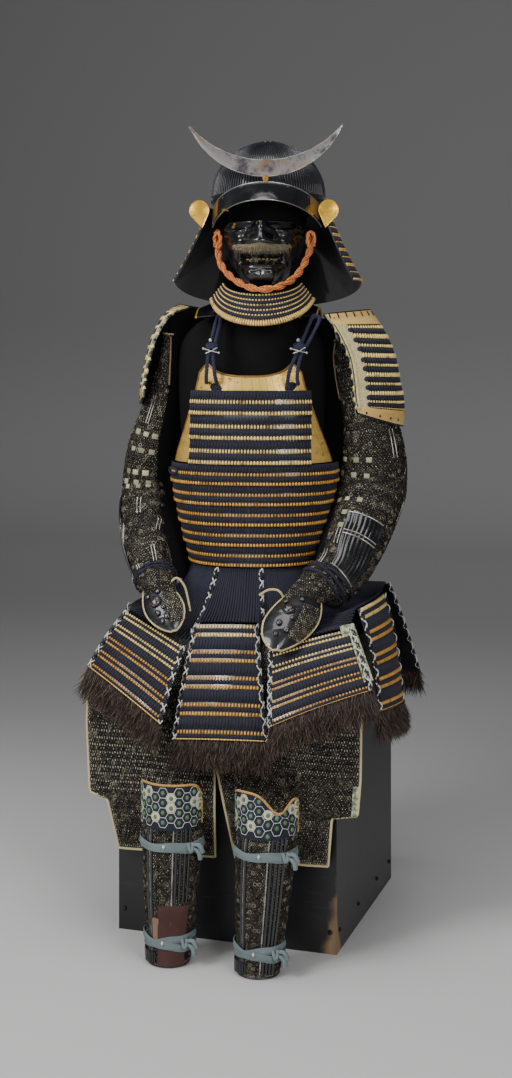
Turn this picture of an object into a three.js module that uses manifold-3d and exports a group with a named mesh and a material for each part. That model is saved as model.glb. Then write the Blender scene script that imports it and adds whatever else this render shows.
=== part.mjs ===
// A samurai armour set up as if seated on its own storage box.
// Millimetres, +Z up, front towards -Y. The origin is the middle of the box's underside.
// Left and right are as seen by someone facing the armour.
import * as THREE from "three";
import * as BufferGeometryUtils from "three/addons/utils/BufferGeometryUtils.js";
import Module from "manifold-3d";

const wasm = await Module();
wasm.setup();

// ---- driving dimensions -------------------------------------------------------------------
const SEAM = 0.6;                 // gap kept between pieces that meet
const CLOTH = 2;                  // wall of plain cloth
const MAIL = 2.5;                 // wall of cloth with mail sewn on
const LAME = 3;                   // wall of laced lames
const IRON = 2.5;                 // wall of forged plates

const BOX = { width: 430, depth: 440, bodyHeight: 485, wall: 12 };
const LID = { width: 434, depth: 444, height: 70.7, wall: 9 };
const LID_TOP = BOX.bodyHeight + SEAM / 2 + LID.height;

const TORSO_TURN = 12;            // degrees, the upper body looks towards +X
const TORSO_PLACE = [-14, 0, 0];
const HEAD_TURN = 14;
const HEAD_PLACE = [14, 4, 0];

const deg = THREE.MathUtils.degToRad;
const lerp = THREE.MathUtils.lerp;
const vec = (x, y, z) => new THREE.Vector3(x, y, z);

// ---- finishes -----------------------------------------------------------------------------
const finish = (color, roughness, metalness = 0) =>
  new THREE.MeshStandardMaterial({ color, roughness, metalness, side: THREE.DoubleSide });
const blackLacquer = finish(0x15161b, 0.3);
const glossBlack = finish(0x0b0b0e, 0.12);
const blackCloth = finish(0x0a0a0c, 0.95);
const navyLacing = finish(0x1f2338, 0.85);
const goldLacquer = finish(0xc9a052, 0.45, 0.3);
const goldLeaf = finish(0xd0a840, 0.35, 0.8);
const darkIron = finish(0x24232a, 0.45, 0.5);
const mailCloth = finish(0x35332f, 0.7, 0.2);
const agedSilver = finish(0x96908a, 0.4, 0.7);
const orangeCord = finish(0xc86b3c, 0.85);
const greyBristle = finish(0x96896a, 0.95);
const brownFur = finish(0x35271f, 1);
const hexBrocade = finish(0x5b7060, 0.85);
const paleTie = finish(0x82999a, 0.9);

// ---- shape helpers ------------------------------------------------------------------------
const root = new THREE.Group();
const torso = new THREE.Group();
torso.position.set(...TORSO_PLACE);
torso.rotation.z = deg(TORSO_TURN);
const head = new THREE.Group();
head.position.set(...HEAD_PLACE);
head.rotation.z = deg(HEAD_TURN);
root.add(torso, head);

function addMesh(group, name, geometry, material) {
  const mesh = new THREE.Mesh(geometry, material);
  mesh.name = name;
  group.add(mesh);
}

function indexed(points, triangles) {
  const geometry = new THREE.BufferGeometry();
  const flat = points.flatMap((p) => [p.x, p.y, p.z]);
  geometry.setAttribute("position", new THREE.Float32BufferAttribute(flat, 3));
  geometry.setIndex(triangles);
  return geometry;
}

// Normals of a grid of points: columns run left to right and rows top to bottom, seen from outside.
function gridNormals(grid, round) {
  const rows = grid.length;
  const cols = grid[0].length;
  const wrap = (i) => (round ? (i + cols) % cols : Math.min(Math.max(i, 0), cols - 1));
  return grid.map((row, j) => row.map((_, i) => {
    const right = grid[j][wrap(i + 1)].clone().sub(grid[j][wrap(i - 1)]);
    const down = grid[Math.min(j + 1, rows - 1)][i].clone().sub(grid[Math.max(j - 1, 0)][i]);
    return down.cross(right).normalize();
  }));
}

// A wall between the grid, moved `outside` mm out, and the same grid moved `inside` mm in.
function wall(grid, inside, { round = false, outside = 0, normals } = {}) {
  const rows = grid.length;
  const cols = grid[0].length;
  const directions = normals ?? gridNormals(grid, round);
  const moved = (reach) => grid.flatMap((row, j) => row.map((p, i) =>
    p.clone().addScaledVector(directions[j][i], reach)));
  const points = [...moved(outside), ...moved(-inside)];
  const triangles = [];
  const quad = (a, b, c, d) => triangles.push(a, b, c, a, c, d);
  const at = (j, i, layer) => layer * rows * cols + j * cols + (i % cols);
  const spans = round ? cols : cols - 1;
  for (let j = 0; j < rows - 1; j++) {
    for (let i = 0; i < spans; i++) {
      quad(at(j, i, 0), at(j + 1, i, 0), at(j + 1, i + 1, 0), at(j, i + 1, 0));
      quad(at(j, i, 1), at(j, i + 1, 1), at(j + 1, i + 1, 1), at(j + 1, i, 1));
    }
  }
  for (let i = 0; i < spans; i++) {
    quad(at(0, i, 0), at(0, i + 1, 0), at(0, i + 1, 1), at(0, i, 1));
    quad(at(rows - 1, i + 1, 0), at(rows - 1, i, 0), at(rows - 1, i, 1), at(rows - 1, i + 1, 1));
  }
  for (let j = 0; j < rows - 1 && !round; j++) {
    quad(at(j + 1, 0, 0), at(j, 0, 0), at(j, 0, 1), at(j + 1, 0, 1));
    quad(at(j, cols - 1, 0), at(j + 1, cols - 1, 0), at(j + 1, cols - 1, 1), at(j, cols - 1, 1));
  }
  return indexed(points, triangles);
}

// A grid from a function of two numbers that both run from 0 to 1.
function grid(cols, rows, pointAt, round = false) {
  const across = round ? cols : cols - 1;
  return Array.from({ length: rows }, (_, j) =>
    Array.from({ length: cols }, (_, i) => pointAt(i / across, j / (rows - 1))));
}

// A whole solid through closed rings, listed from top to bottom, each turning left to right.
function loft(rings) {
  const sides = rings[0].length;
  const points = rings.flat();
  const triangles = [];
  const middle = (ring) => ring.reduce((sum, p) => sum.add(p), vec(0, 0, 0)).divideScalar(sides);
  for (let j = 0; j < rings.length - 1; j++) {
    for (let i = 0; i < sides; i++) {
      const a = j * sides + i;
      const b = j * sides + ((i + 1) % sides);
      triangles.push(a, a + sides, b + sides, a, b + sides, b);
    }
  }
  const top = points.push(middle(rings[0])) - 1;
  const bottom = points.push(middle(rings.at(-1))) - 1;
  const last = (rings.length - 1) * sides;
  for (let i = 0; i < sides; i++) {
    const next = (i + 1) % sides;
    triangles.push(top, i, next, bottom, last + next, last + i);
  }
  return indexed(points, triangles);
}

// A point on a rounded oval; the turn is in degrees from the front, positive to the right.
function oval(turn, { x = 0, y = 0, z = 0, halfWidth, halfDepth, squareness = 2 }) {
  const s = Math.sin(deg(turn));
  const c = Math.cos(deg(turn));
  const bend = (value) => Math.sign(value) * Math.abs(value) ** (2 / squareness);
  return vec(x + halfWidth * bend(s), y - halfDepth * bend(c), z);
}

// A row of a table, eased between its neighbours; every column is read at `key`.
function rowAt(table, column, key) {
  const rising = table.at(-1)[column] > table[0][column];
  const passed = (row) => (rising ? row[column] <= key : row[column] >= key);
  const first = Math.min(Math.max(table.filter(passed).length - 1, 0), table.length - 2);
  const [a, b] = [table[first], table[first + 1]];
  const part = (key - a[column]) / (b[column] - a[column]);
  return Object.fromEntries(Object.keys(a).map((name) => [name, lerp(a[name], b[name], part)]));
}

function cord(points, radius, sides, steps) {
  const section = new THREE.Shape();
  for (let i = 0; i < sides; i++) {
    const turn = (2 * Math.PI * i) / sides;
    section[i ? "lineTo" : "moveTo"](radius * Math.cos(turn), radius * Math.sin(turn));
  }
  const path = new THREE.CatmullRomCurve3(points.map((p) => vec(...p)), false, "centripetal");
  return new THREE.ExtrudeGeometry(section, { steps, extrudePath: path, bevelEnabled: false });
}

function solidOf(geometry) {
  const bare = geometry.clone();
  bare.deleteAttribute("normal");
  bare.deleteAttribute("uv");
  const merged = BufferGeometryUtils.mergeVertices(bare);
  return new wasm.Manifold(new wasm.Mesh({
    numProp: 3,
    vertProperties: new Float32Array(merged.attributes.position.array),
    triVerts: new Uint32Array(merged.index.array),
  }));
}

function geometryOf(solid) {
  const mesh = solid.getMesh();
  const geometry = new THREE.BufferGeometry();
  geometry.setAttribute("position", new THREE.BufferAttribute(mesh.vertProperties, 3));
  geometry.setIndex(new THREE.BufferAttribute(mesh.triVerts, 1));
  return geometry;
}

// ---- storage box --------------------------------------------------------------------------
function block(width, depth, low, high) {
  const geometry = new THREE.BoxGeometry(width, depth, high - low);
  return solidOf(geometry.translate(0, 0, (low + high) / 2));
}

function buildBox() {
  const outside = block(BOX.width, BOX.depth, 0, BOX.bodyHeight);
  const inner = [BOX.width - 2 * BOX.wall, BOX.depth - 2 * BOX.wall];
  const inside = block(...inner, BOX.wall, BOX.bodyHeight + 1);
  addMesh(root, "box_body", geometryOf(outside.subtract(inside)), blackLacquer);
  const low = BOX.bodyHeight + SEAM / 2;
  const cap = block(LID.width, LID.depth, low, LID_TOP);
  const under = block(LID.width - 2 * LID.wall, LID.depth - 2 * LID.wall, low - 1, LID_TOP - LID.wall);
  addMesh(root, "box_lid", geometryOf(cap.subtract(under)), blackLacquer);
}

// ---- display stand: a limbless form, a head post and two leg posts ---------------------------
const FORM = [
  { z: 1212, halfWidth: 46, halfDepth: 50, x: 6 },
  { z: 1188, halfWidth: 56, halfDepth: 54, x: 3 },
  { z: 1172, halfWidth: 88, halfDepth: 62, x: -2 },
  { z: 1150, halfWidth: 122, halfDepth: 72, x: -4 },
  { z: 1115, halfWidth: 144, halfDepth: 86, x: -5 },
  { z: 1000, halfWidth: 146, halfDepth: 98, x: -5 },
  { z: 884, halfWidth: 138, halfDepth: 102, x: -2 },
  { z: 780, halfWidth: 124, halfDepth: 98, x: 0 },
  { z: 690, halfWidth: 106, halfDepth: 92, x: 0 },
  { z: LID_TOP + SEAM / 2, halfWidth: 102, halfDepth: 90, x: 0 },
];
const HEAD_FORM = [
  { z: 1513, halfWidth: 22, halfDepth: 26 },
  { z: 1500, halfWidth: 46, halfDepth: 54 },
  { z: 1466, halfWidth: 74, halfDepth: 88 },
  { z: 1410, halfWidth: 82, halfDepth: 98 },
  { z: 1340, halfWidth: 72, halfDepth: 88 },
  { z: 1275, halfWidth: 56, halfDepth: 72 },
  { z: 1240, halfWidth: 42, halfDepth: 52 },
  { z: 1212 + SEAM, halfWidth: 40, halfDepth: 46 },
];
const LEG_POST = { radius: 22, height: 292, sides: 12, y: -335 };

function ovalRings(table, sides, squareness = 2) {
  return table.map((row) => Array.from({ length: sides }, (_, i) =>
    oval((360 * i) / sides, { ...row, squareness })));
}

function buildStand() {
  addMesh(torso, "stand_torso", loft(ovalRings(FORM, 16, 2.3)), blackCloth);
  addMesh(head, "stand_head", loft(ovalRings(HEAD_FORM, 14)), blackCloth);
  for (const [side, x] of [["left", SHIN.left.post], ["right", SHIN.right.post]]) {
    const post = new THREE.CylinderGeometry(LEG_POST.radius, LEG_POST.radius, LEG_POST.height,
      LEG_POST.sides);
    post.rotateX(Math.PI / 2);
    post.translate(x, LEG_POST.y, LEG_POST.height / 2);
    addMesh(root, `stand_leg_${side}`, post, blackCloth);
  }
}

// ---- helmet -------------------------------------------------------------------------------
const BOWL = { halfWidth: 112, halfDepth: 128, base: 1410, rim: 1392, height: 109, topHole: 13 };

function bowlPoint(turn, rise) {
  const shrink = Math.cos(deg(rise));
  const z = rise < 0 ? BOWL.rim : BOWL.base + BOWL.height * Math.sin(deg(rise));
  const size = rise < 0 ? 1 : shrink;
  return oval(turn, { z, halfWidth: BOWL.halfWidth * size, halfDepth: BOWL.halfDepth * size });
}

function buildBowl() {
  const topRise = 90 - THREE.MathUtils.radToDeg(BOWL.topHole / BOWL.halfWidth);
  const rises = [topRise, 68, 50, 33, 16, 0, -1];
  const shell = rises.map((rise) => Array.from({ length: 20 }, (_, i) => bowlPoint(18 * i, rise)));
  addMesh(head, "helmet_bowl", wall(shell, IRON, { round: true }), darkIron);
}

const PEAK = { spread: 68, topZ: 1428, lowZ: 1391, sideDrop: 44, clear: 3, reach: 50, sideReach: 6 };

function buildPeak() {
  const shell = grid(13, 4, (u, v) => {
    const side = 2 * u - 1;
    const out = PEAK.clear + v * lerp(PEAK.reach, PEAK.sideReach, side * side);
    const z = lerp(PEAK.topZ, PEAK.lowZ, v ** 1.3) - PEAK.sideDrop * side * side;
    return oval(PEAK.spread * side, {
      z,
      halfWidth: BOWL.halfWidth + PEAK.clear + 2 * v,
      halfDepth: BOWL.halfDepth + out,
    });
  });
  addMesh(head, "helmet_peak", wall(shell, IRON), glossBlack);
}

// The crescent: two arcs that meet at the horn tips, with a tang that stands on the peak.
const CREST = {
  x: 4, tipX: 148, tipZ: 1536, lowZ: 1436, topZ: 1467, y: -156, thickness: 2,
  tangHalfWidth: 8, tangZ: 1419,
};

function arcThrough(tipX, tipZ, midZ) {
  const sag = tipZ - midZ;
  const radius = (tipX * tipX + sag * sag) / (2 * sag);
  return { radius, centre: midZ + radius, half: Math.asin(tipX / radius) };
}

function buildCrest() {
  const low = arcThrough(CREST.tipX, CREST.tipZ, CREST.lowZ);
  const top = arcThrough(CREST.tipX, CREST.tipZ, CREST.topZ);
  const outline = new THREE.Shape();
  const down = -Math.PI / 2;
  const neck = Math.asin(CREST.tangHalfWidth / low.radius);
  outline.absarc(CREST.x, low.centre, low.radius, down - low.half, down - neck, false);
  outline.lineTo(CREST.x - CREST.tangHalfWidth, CREST.tangZ);
  outline.lineTo(CREST.x + CREST.tangHalfWidth, CREST.tangZ);
  outline.absarc(CREST.x, low.centre, low.radius, down + neck, down + low.half, false);
  outline.absarc(CREST.x, top.centre, top.radius, down + top.half, down - top.half, true);
  const plate = new THREE.ExtrudeGeometry(outline, {
    depth: CREST.thickness, bevelEnabled: false, curveSegments: 14,
  });
  plate.rotateX(Math.PI / 2);
  plate.translate(0, CREST.y, 0);
  addMesh(head, "helmet_crest", plate, agedSilver);
}

// The neck guard: five flaring lames from the right cheek round the back to the left cheek.
const NECK_GUARD = {
  lames: 5, leftEnd: -92, rightEnd: 114, topZ: 1390, backZ: 1196, sideRise: 46,
  topHalfWidth: 118, topHalfDepth: 134, halfWidth: 189, backDepth: 196, frontDepth: 165,
  footShift: -2, straight: 0.78,
};

function neckGuardPoint(turn, v) {
  const guard = NECK_GUARD;
  const s = Math.sin(deg(turn));
  const c = Math.cos(deg(turn));
  const flare = guard.straight * v + (1 - guard.straight) * v * v;
  const depth = c > 0 ? guard.backDepth : guard.frontDepth;
  const low = guard.backZ + guard.sideRise * Math.min(1, (turn / 90) ** 2);
  return vec(
    guard.footShift * v + s * lerp(guard.topHalfWidth, guard.halfWidth, flare),
    c * lerp(guard.topHalfDepth, depth, flare),
    lerp(guard.topZ, low, v),
  );
}

function buildNeckGuard() {
  const { leftEnd, rightEnd, lames } = NECK_GUARD;
  const shell = grid(17, lames + 1, (u, v) => neckGuardPoint(lerp(rightEnd, leftEnd, u), v));
  addMesh(head, "helmet_neck_guard", wall(shell, LAME), blackLacquer);
}

// Gold flaps beside the peak: drops with the point down.
const FLAP = { radius: 20, point: 36, z: 1378, y: -78, left: -131, right: 122, thickness: 2 };

function buildFlaps() {
  for (const side of ["left", "right"]) {
    const drop = new THREE.Shape();
    drop.moveTo(0, -FLAP.point);
    drop.absarc(0, 0, FLAP.radius, deg(-28), deg(208), false);
    const plate = new THREE.ExtrudeGeometry(drop, {
      depth: FLAP.thickness, bevelEnabled: false, curveSegments: 12,
    });
    plate.rotateX(Math.PI / 2);
    plate.rotateY(deg(side === "left" ? -10 : 10));
    plate.translate(FLAP[side], FLAP.y, FLAP.z);
    addMesh(head, `helmet_flap_${side}`, plate, goldLeaf);
  }
}

// ---- mask and throat guard ------------------------------------------------------------------
// A fierce half mask: nose, open mouth and chin standing out of a rounded shell.
const MASK = [
  { z: 1352, halfWidth: 76, halfDepth: 122, nose: 14, mouth: 0, chin: 0, spread: 62 },
  { z: 1338, halfWidth: 80, halfDepth: 124, nose: 20, mouth: 0, chin: 0, spread: 78 },
  { z: 1322, halfWidth: 80, halfDepth: 126, nose: 30, mouth: 0, chin: 0, spread: 82 },
  { z: 1308, halfWidth: 78, halfDepth: 128, nose: 24, mouth: 0, chin: 0, spread: 84 },
  { z: 1298, halfWidth: 75, halfDepth: 129, nose: 4, mouth: 4, chin: 0, spread: 84 },
  { z: 1286, halfWidth: 72, halfDepth: 128, nose: 0, mouth: 20, chin: 0, spread: 82 },
  { z: 1270, halfWidth: 66, halfDepth: 126, nose: 0, mouth: 16, chin: 2, spread: 78 },
  { z: 1254, halfWidth: 56, halfDepth: 124, nose: 0, mouth: 0, chin: 14, spread: 70 },
  { z: 1240, halfWidth: 46, halfDepth: 118, nose: 0, mouth: 0, chin: 16, spread: 58 },
  { z: 1232, halfWidth: 38, halfDepth: 106, nose: 0, mouth: 0, chin: 12, spread: 46 },
];
const MASK_X = -6;
const MASK_Y = -16;

function bump(turn, width) {
  return Math.exp(-((turn / width) ** 2));
}

function maskPoint(u, row) {
  const turn = row.spread * (2 * u - 1);
  const base = oval(turn, { x: MASK_X, y: MASK_Y, ...row, squareness: 2.1 });
  const out = row.nose * bump(turn, 10) + row.chin * bump(turn, 26) - row.mouth * bump(turn, 22);
  return base.add(vec(0, -out, 0));
}

function buildMask() {
  const shell = MASK.map((row) => Array.from({ length: 15 }, (_, i) => maskPoint(i / 14, row)));
  addMesh(head, "mask", wall(shell, IRON), glossBlack);
  const bristles = grid(9, 4, (u, v) => {
    const side = 2 * u - 1;
    const row = rowAt(MASK, "z", lerp(1306, 1288, v) - 3 * (1 - side * side));
    const turn = 34 * side;
    const base = oval(turn, { x: MASK_X, y: MASK_Y, ...row, nose: 0, squareness: 2.1 });
    const lip = row.mouth * bump(turn, 22) + lerp(6, 14, Math.min(v, 1 - v) * 2);
    return base.add(vec(0, -lip - row.nose * bump(turn, 10), 0));
  });
  addMesh(head, "moustache", wall(bristles, 4), greyBristle);
}

const THROAT = {
  x: -8, spread: 76,
  top: { halfWidth: 78, halfDepth: 108, y: -40, z: 1213, sideRise: 24 },
  low: { halfWidth: 106, halfDepth: 148, y: -30, z: 1151, sideRise: 52 },
};

function throatPoint(side, v) {
  const { top, low } = THROAT;
  const mix = (name) => lerp(top[name], low[name], v);
  const z = mix("z") + mix("sideRise") * side * side;
  const size = { halfWidth: mix("halfWidth"), halfDepth: mix("halfDepth") };
  return oval(THROAT.spread * side, { x: THROAT.x, y: mix("y"), z, ...size });
}

function buildThroatGuard() {
  const shell = grid(15, 5, (u, v) => throatPoint(2 * u - 1, v));
  addMesh(head, "throat_guard", wall(shell, LAME), goldLacquer);
}

const CHIN_CORD = {
  radius: 6.5,
  route: [
    [-100, -44, 1340], [-95, -66, 1302], [-88, -88, 1274], [-71, -112, 1252], [-50, -134, 1236],
    [-26, -153, 1225], [-3, -161, 1221], [23, -154, 1224], [46, -134, 1235], [64, -112, 1252],
    [77, -90, 1276], [86, -68, 1302], [92, -48, 1332],
  ],
};

function buildChinCord() {
  addMesh(head, "chin_cord", cord(CHIN_CORD.route, CHIN_CORD.radius, 8, 20), orangeCord);
}

// ---- cuirass ------------------------------------------------------------------------------
const CUIRASS = [
  { z: 1080, halfWidth: 150, halfDepth: 125 },
  { z: 1025, halfWidth: 148, halfDepth: 128 },
  { z: 960, halfWidth: 152, halfDepth: 131 },
  { z: 884, halfWidth: 165, halfDepth: 136 },
  { z: 840, halfWidth: 163, halfDepth: 139 },
  { z: 760, halfWidth: 146, halfDepth: 140 },
  { z: 689, halfWidth: 127, halfDepth: 137 },
];
const WAIST_Z = 689;
const CHEST_Z = 884;
const LOWER_LAMES = 5;
const UPPER_LAMES = 3;
const UPPER_HALF_WIDTH = 118;
const SAWTOOTH = 3;              // each lame's foot stands this far out over the next one's head
const CUIRASS_SQUARE = 2.4;

function cuirassPoint(turn, z, out = 0) {
  const row = rowAt(CUIRASS, "z", z);
  return oval(turn, {
    x: 2, z, halfWidth: row.halfWidth + out, halfDepth: row.halfDepth + out,
    squareness: CUIRASS_SQUARE,
  });
}

// Rows of a stack of lames: a head and a foot for each, the foot standing out.
function lameRows(count, top, bottom) {
  const height = (top - bottom) / count;
  return Array.from({ length: count }, (_, k) => [
    { z: top - k * height - (k ? 0.5 : 0), out: 0 },
    { z: top - (k + 1) * height, out: SAWTOOTH },
  ]).flat();
}

function buildLowerCuirass() {
  const rows = lameRows(LOWER_LAMES, CHEST_Z, WAIST_Z);
  for (const [name, middle] of [["do_front_lower", 0], ["do_back_lower", 180]]) {
    const shell = rows.map((row) => Array.from({ length: 15 }, (_, i) =>
      cuirassPoint(middle + lerp(-89, 89, i / 14), row.z, row.out)));
    addMesh(torso, name, wall(shell, LAME), goldLacquer);
  }
}

// The gold chest plate narrows from the full chest to two horns beside a shallow scoop.
const CHEST_PLATE = {
  lowZ: CHEST_Z + 2, inset: 5, hornZ: 1078, scoopZ: 1054, hornAt: 0.8, cornerAt: 0.85, cornerDrop: 16,
};
const CHEST_SPREAD = [
  { z: 1080, turn: 37 },
  { z: 1031, turn: 45 },
  { z: 960, turn: 60 },
  { z: 884, turn: 75 },
];

function chestPlatePoint(u, v) {
  const side = 2 * u - 1;
  const { scoopZ, hornZ, hornAt, cornerAt, cornerDrop, lowZ, inset } = CHEST_PLATE;
  const top = lerp(scoopZ, hornZ, Math.min(1, Math.abs(side) / hornAt) ** 2.5);
  const corner = cornerDrop * Math.max(0, Math.abs(side) - cornerAt) / (1 - cornerAt);
  const z = lerp(top - corner, lowZ, v);
  return cuirassPoint(rowAt(CHEST_SPREAD, "z", z).turn * side, z, -inset);
}

function buildUpperCuirass() {
  const plate = grid(15, 7, chestPlatePoint);
  addMesh(torso, "do_chest_plate", wall(plate, IRON), goldLacquer);
  const lames = lameRows(UPPER_LAMES, 1027, CHEST_Z + SEAM);
  const front = lames.map((row) => {
    const share = UPPER_HALF_WIDTH / rowAt(CUIRASS, "z", row.z).halfWidth;
    const spread = THREE.MathUtils.radToDeg(Math.asin(share ** (CUIRASS_SQUARE / 2)));
    return Array.from({ length: 11 }, (_, i) =>
      cuirassPoint(lerp(-spread, spread, i / 10), row.z, row.out));
  });
  addMesh(torso, "do_front_upper", wall(front, LAME - 1), goldLacquer);
  const back = grid(13, 6, (u, v) => cuirassPoint(180 + lerp(-66, 66, u),
    lerp(1078 - 26 * Math.abs(2 * u - 1) ** 3, CHEST_Z + SEAM, v)));
  addMesh(torso, "do_back_upper", wall(back, LAME), goldLacquer);
}

// Shoulder straps: from the top of the back plate over the shoulders to the front toggles.
const STRAP = { halfWidth: 22, left: -84, right: 108 };
const STRAP_ROUTE = [
  { y: 118, z: 1084, drop: 0 },
  { y: 96, z: 1146, drop: 0 },
  { y: 50, z: 1184, drop: 5 },
  { y: 0, z: 1196, drop: 9 },
  { y: -50, z: 1190, drop: 7 },
  { y: -88, z: 1170, drop: 2 },
];

function buildStraps() {
  for (const side of ["left", "right"]) {
    const outer = side === "left" ? -1 : 1;
    const shell = STRAP_ROUTE.map((row) => [1, 0, -1].map((across) => {
      const x = STRAP[side] + across * STRAP.halfWidth;
      return vec(x, row.y, row.z - row.drop * across * outer);
    }));
    addMesh(torso, `shoulder_strap_${side}`, wall(shell, IRON), glossBlack);
  }
}

// A cord loop from each strap end, through a toggle, to two holes under the chest plate's horn.
const TOGGLE_CORD = {
  radius: 3.2,
  left: [
    [-80, -134, 1046], [-78, -136, 1070], [-75, -134, 1100], [-70, -122, 1130], [-64, -98, 1164],
    [-60, -90, 1172], [-56, -98, 1164], [-61, -122, 1130], [-66, -134, 1100], [-64, -137, 1070],
    [-62, -136, 1046],
  ],
  right: [
    [78, -136, 1044], [82, -137, 1066], [94, -134, 1096], [108, -120, 1130], [122, -100, 1166],
    [129, -97, 1172], [136, -98, 1163], [121, -118, 1128], [104, -133, 1096], [97, -136, 1066],
    [95, -134, 1044],
  ],
};

function buildToggleCords() {
  for (const side of ["left", "right"]) {
    addMesh(torso, `toggle_cord_${side}`, cord(TOGGLE_CORD[side], TOGGLE_CORD.radius, 6, 22),
      navyLacing);
  }
}

// ---- shoulder guards, sleeves and hands -------------------------------------------------------
// A row runs from the front edge to the back edge, bowed outwards by `bulge`.
const SODE = {
  right: [
    { edge: 142, bulge: 88, edgeZ: 1174, midZ: 1184, frontY: -56, backY: 92 },
    { edge: 168, bulge: 94, edgeZ: 1140, midZ: 1137, frontY: -74, backY: 104 },
    { edge: 190, bulge: 91, edgeZ: 1094, midZ: 1090, frontY: -84, backY: 110 },
    { edge: 199, bulge: 91, edgeZ: 1048, midZ: 1044, frontY: -88, backY: 112 },
    { edge: 203, bulge: 95, edgeZ: 1006, midZ: 1000, frontY: -90, backY: 114 },
    { edge: 211, bulge: 85, edgeZ: 982, midZ: 954, frontY: -90, backY: 114 },
  ],
  left: [
    { edge: -128, bulge: -30, edgeZ: 1190, midZ: 1196, frontY: -34, backY: 118 },
    { edge: -162, bulge: -26, edgeZ: 1174, midZ: 1172, frontY: -62, backY: 128 },
    { edge: -188, bulge: -22, edgeZ: 1130, midZ: 1126, frontY: -76, backY: 134 },
    { edge: -202, bulge: -20, edgeZ: 1080, midZ: 1076, frontY: -80, backY: 136 },
    { edge: -210, bulge: -20, edgeZ: 1040, midZ: 1034, frontY: -80, backY: 136 },
    { edge: -212, bulge: -20, edgeZ: 1012, midZ: 994, frontY: -80, backY: 134 },
  ],
};

function sodePoint(row, along) {
  const bow = 1 - (2 * along - 1) ** 2;
  return vec(row.edge + row.bulge * bow, lerp(row.frontY, row.backY, along),
    lerp(row.edgeZ, row.midZ, bow));
}

function buildShoulderGuards() {
  for (const side of ["left", "right"]) {
    const step = (i) => (side === "left" ? 1 - i / 8 : i / 8);
    const shell = SODE[side].map((row) => Array.from({ length: 9 }, (_, i) => sodePoint(row, step(i))));
    addMesh(torso, `sode_${side}`, wall(shell, LAME), goldLacquer);
  }
}

// Sleeves: sections square to the arm's line; `across` and `deep` are half sizes.
const SLEEVE = {
  left: [
    { x: -171, y: 4, z: 1138, across: 15, deep: 42 },
    { x: -176, y: 4, z: 1080, across: 20, deep: 46 },
    { x: -188, y: 4, z: 1005, across: 30, deep: 50 },
    { x: -214, y: 6, z: 910, across: 40, deep: 52 },
    { x: -221, y: 10, z: 840, across: 45, deep: 53 },
    { x: -220, y: 4, z: 810, across: 47, deep: 52 },
    { x: -218, y: -12, z: 780, across: 48, deep: 50 },
    { x: -212, y: -34, z: 750, across: 47, deep: 48 },
    { x: -205, y: -62, z: 722, across: 46, deep: 45 },
    { x: -184, y: -118, z: 676, across: 39, deep: 37 },
    { x: -176, y: -140, z: 660, across: 36, deep: 33 },
  ],
  right: [
    { x: 188, y: 4, z: 1132, across: 31, deep: 44 },
    { x: 206, y: 4, z: 1060, across: 42, deep: 50 },
    { x: 227, y: 4, z: 979, across: 51, deep: 54 },
    { x: 237, y: 6, z: 900, across: 62, deep: 57 },
    { x: 237, y: 8, z: 840, across: 65, deep: 58 },
    { x: 233, y: -8, z: 813, across: 64, deep: 56 },
    { x: 225, y: -30, z: 788, across: 62, deep: 54 },
    { x: 215, y: -53, z: 760, across: 60, deep: 51 },
    { x: 204, y: -78, z: 732, across: 57, deep: 47 },
    { x: 182, y: -120, z: 688, across: 51, deep: 39 },
    { x: 148, y: -162, z: 655, across: 43, deep: 30 },
  ],
};

function sleeveFrames(side) {
  const rows = SLEEVE[side];
  const at = (k) => vec(rows[k].x, rows[k].y, rows[k].z);
  return rows.map((row, k) => {
    const along = at(Math.min(k + 1, rows.length - 1)).sub(at(Math.max(k - 1, 0))).normalize();
    const front = vec(0, -1, 0).addScaledVector(along, along.y).normalize();
    const right = front.clone().cross(along).normalize();
    return { ...row, centre: at(k), along, front, right };
  });
}

function sleevePoint(frame, turn, out = 0) {
  return frame.centre.clone()
    .addScaledVector(frame.right, (frame.across + out) * Math.sin(deg(turn)))
    .addScaledVector(frame.front, (frame.deep + out) * Math.cos(deg(turn)));
}

const SLEEVE_SIDES = 12;
const ELBOW_ROW = 4;              // the row where the upper arm's tube meets the forearm's

const FOREARM_PLATE = {
  left: { from: 4, to: 9, low: -120, high: -60 },
  right: { from: 6, to: 9, low: -6, high: 54 },
};

function buildSleeves() {
  for (const side of ["left", "right"]) {
    const frames = sleeveFrames(side);
    const shell = frames.map((frame) => Array.from({ length: SLEEVE_SIDES }, (_, i) =>
      sleevePoint(frame, (360 * i) / SLEEVE_SIDES)));
    const normals = gridNormals(shell, true);
    const upper = wall(shell.slice(0, ELBOW_ROW + 1), MAIL, { round: true, normals });
    addMesh(torso, `sleeve_upper_${side}`, upper, mailCloth);
    const forearm = shell.slice(ELBOW_ROW);
    forearm[0] = forearm[0].map((p) =>
      p.clone().addScaledVector(frames[ELBOW_ROW].along, SEAM));
    const lower = wall(forearm, MAIL, { round: true, normals: normals.slice(ELBOW_ROW) });
    addMesh(torso, `sleeve_lower_${side}`, lower, mailCloth);
    const plate = FOREARM_PLATE[side];
    const patch = frames.slice(plate.from, plate.to + 1).map((frame) =>
      Array.from({ length: 6 }, (_, i) => sleevePoint(frame, lerp(plate.low, plate.high, i / 5), 5)));
    addMesh(torso, `forearm_plate_${side}`, wall(patch, 2), darkIron);
  }
}

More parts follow.
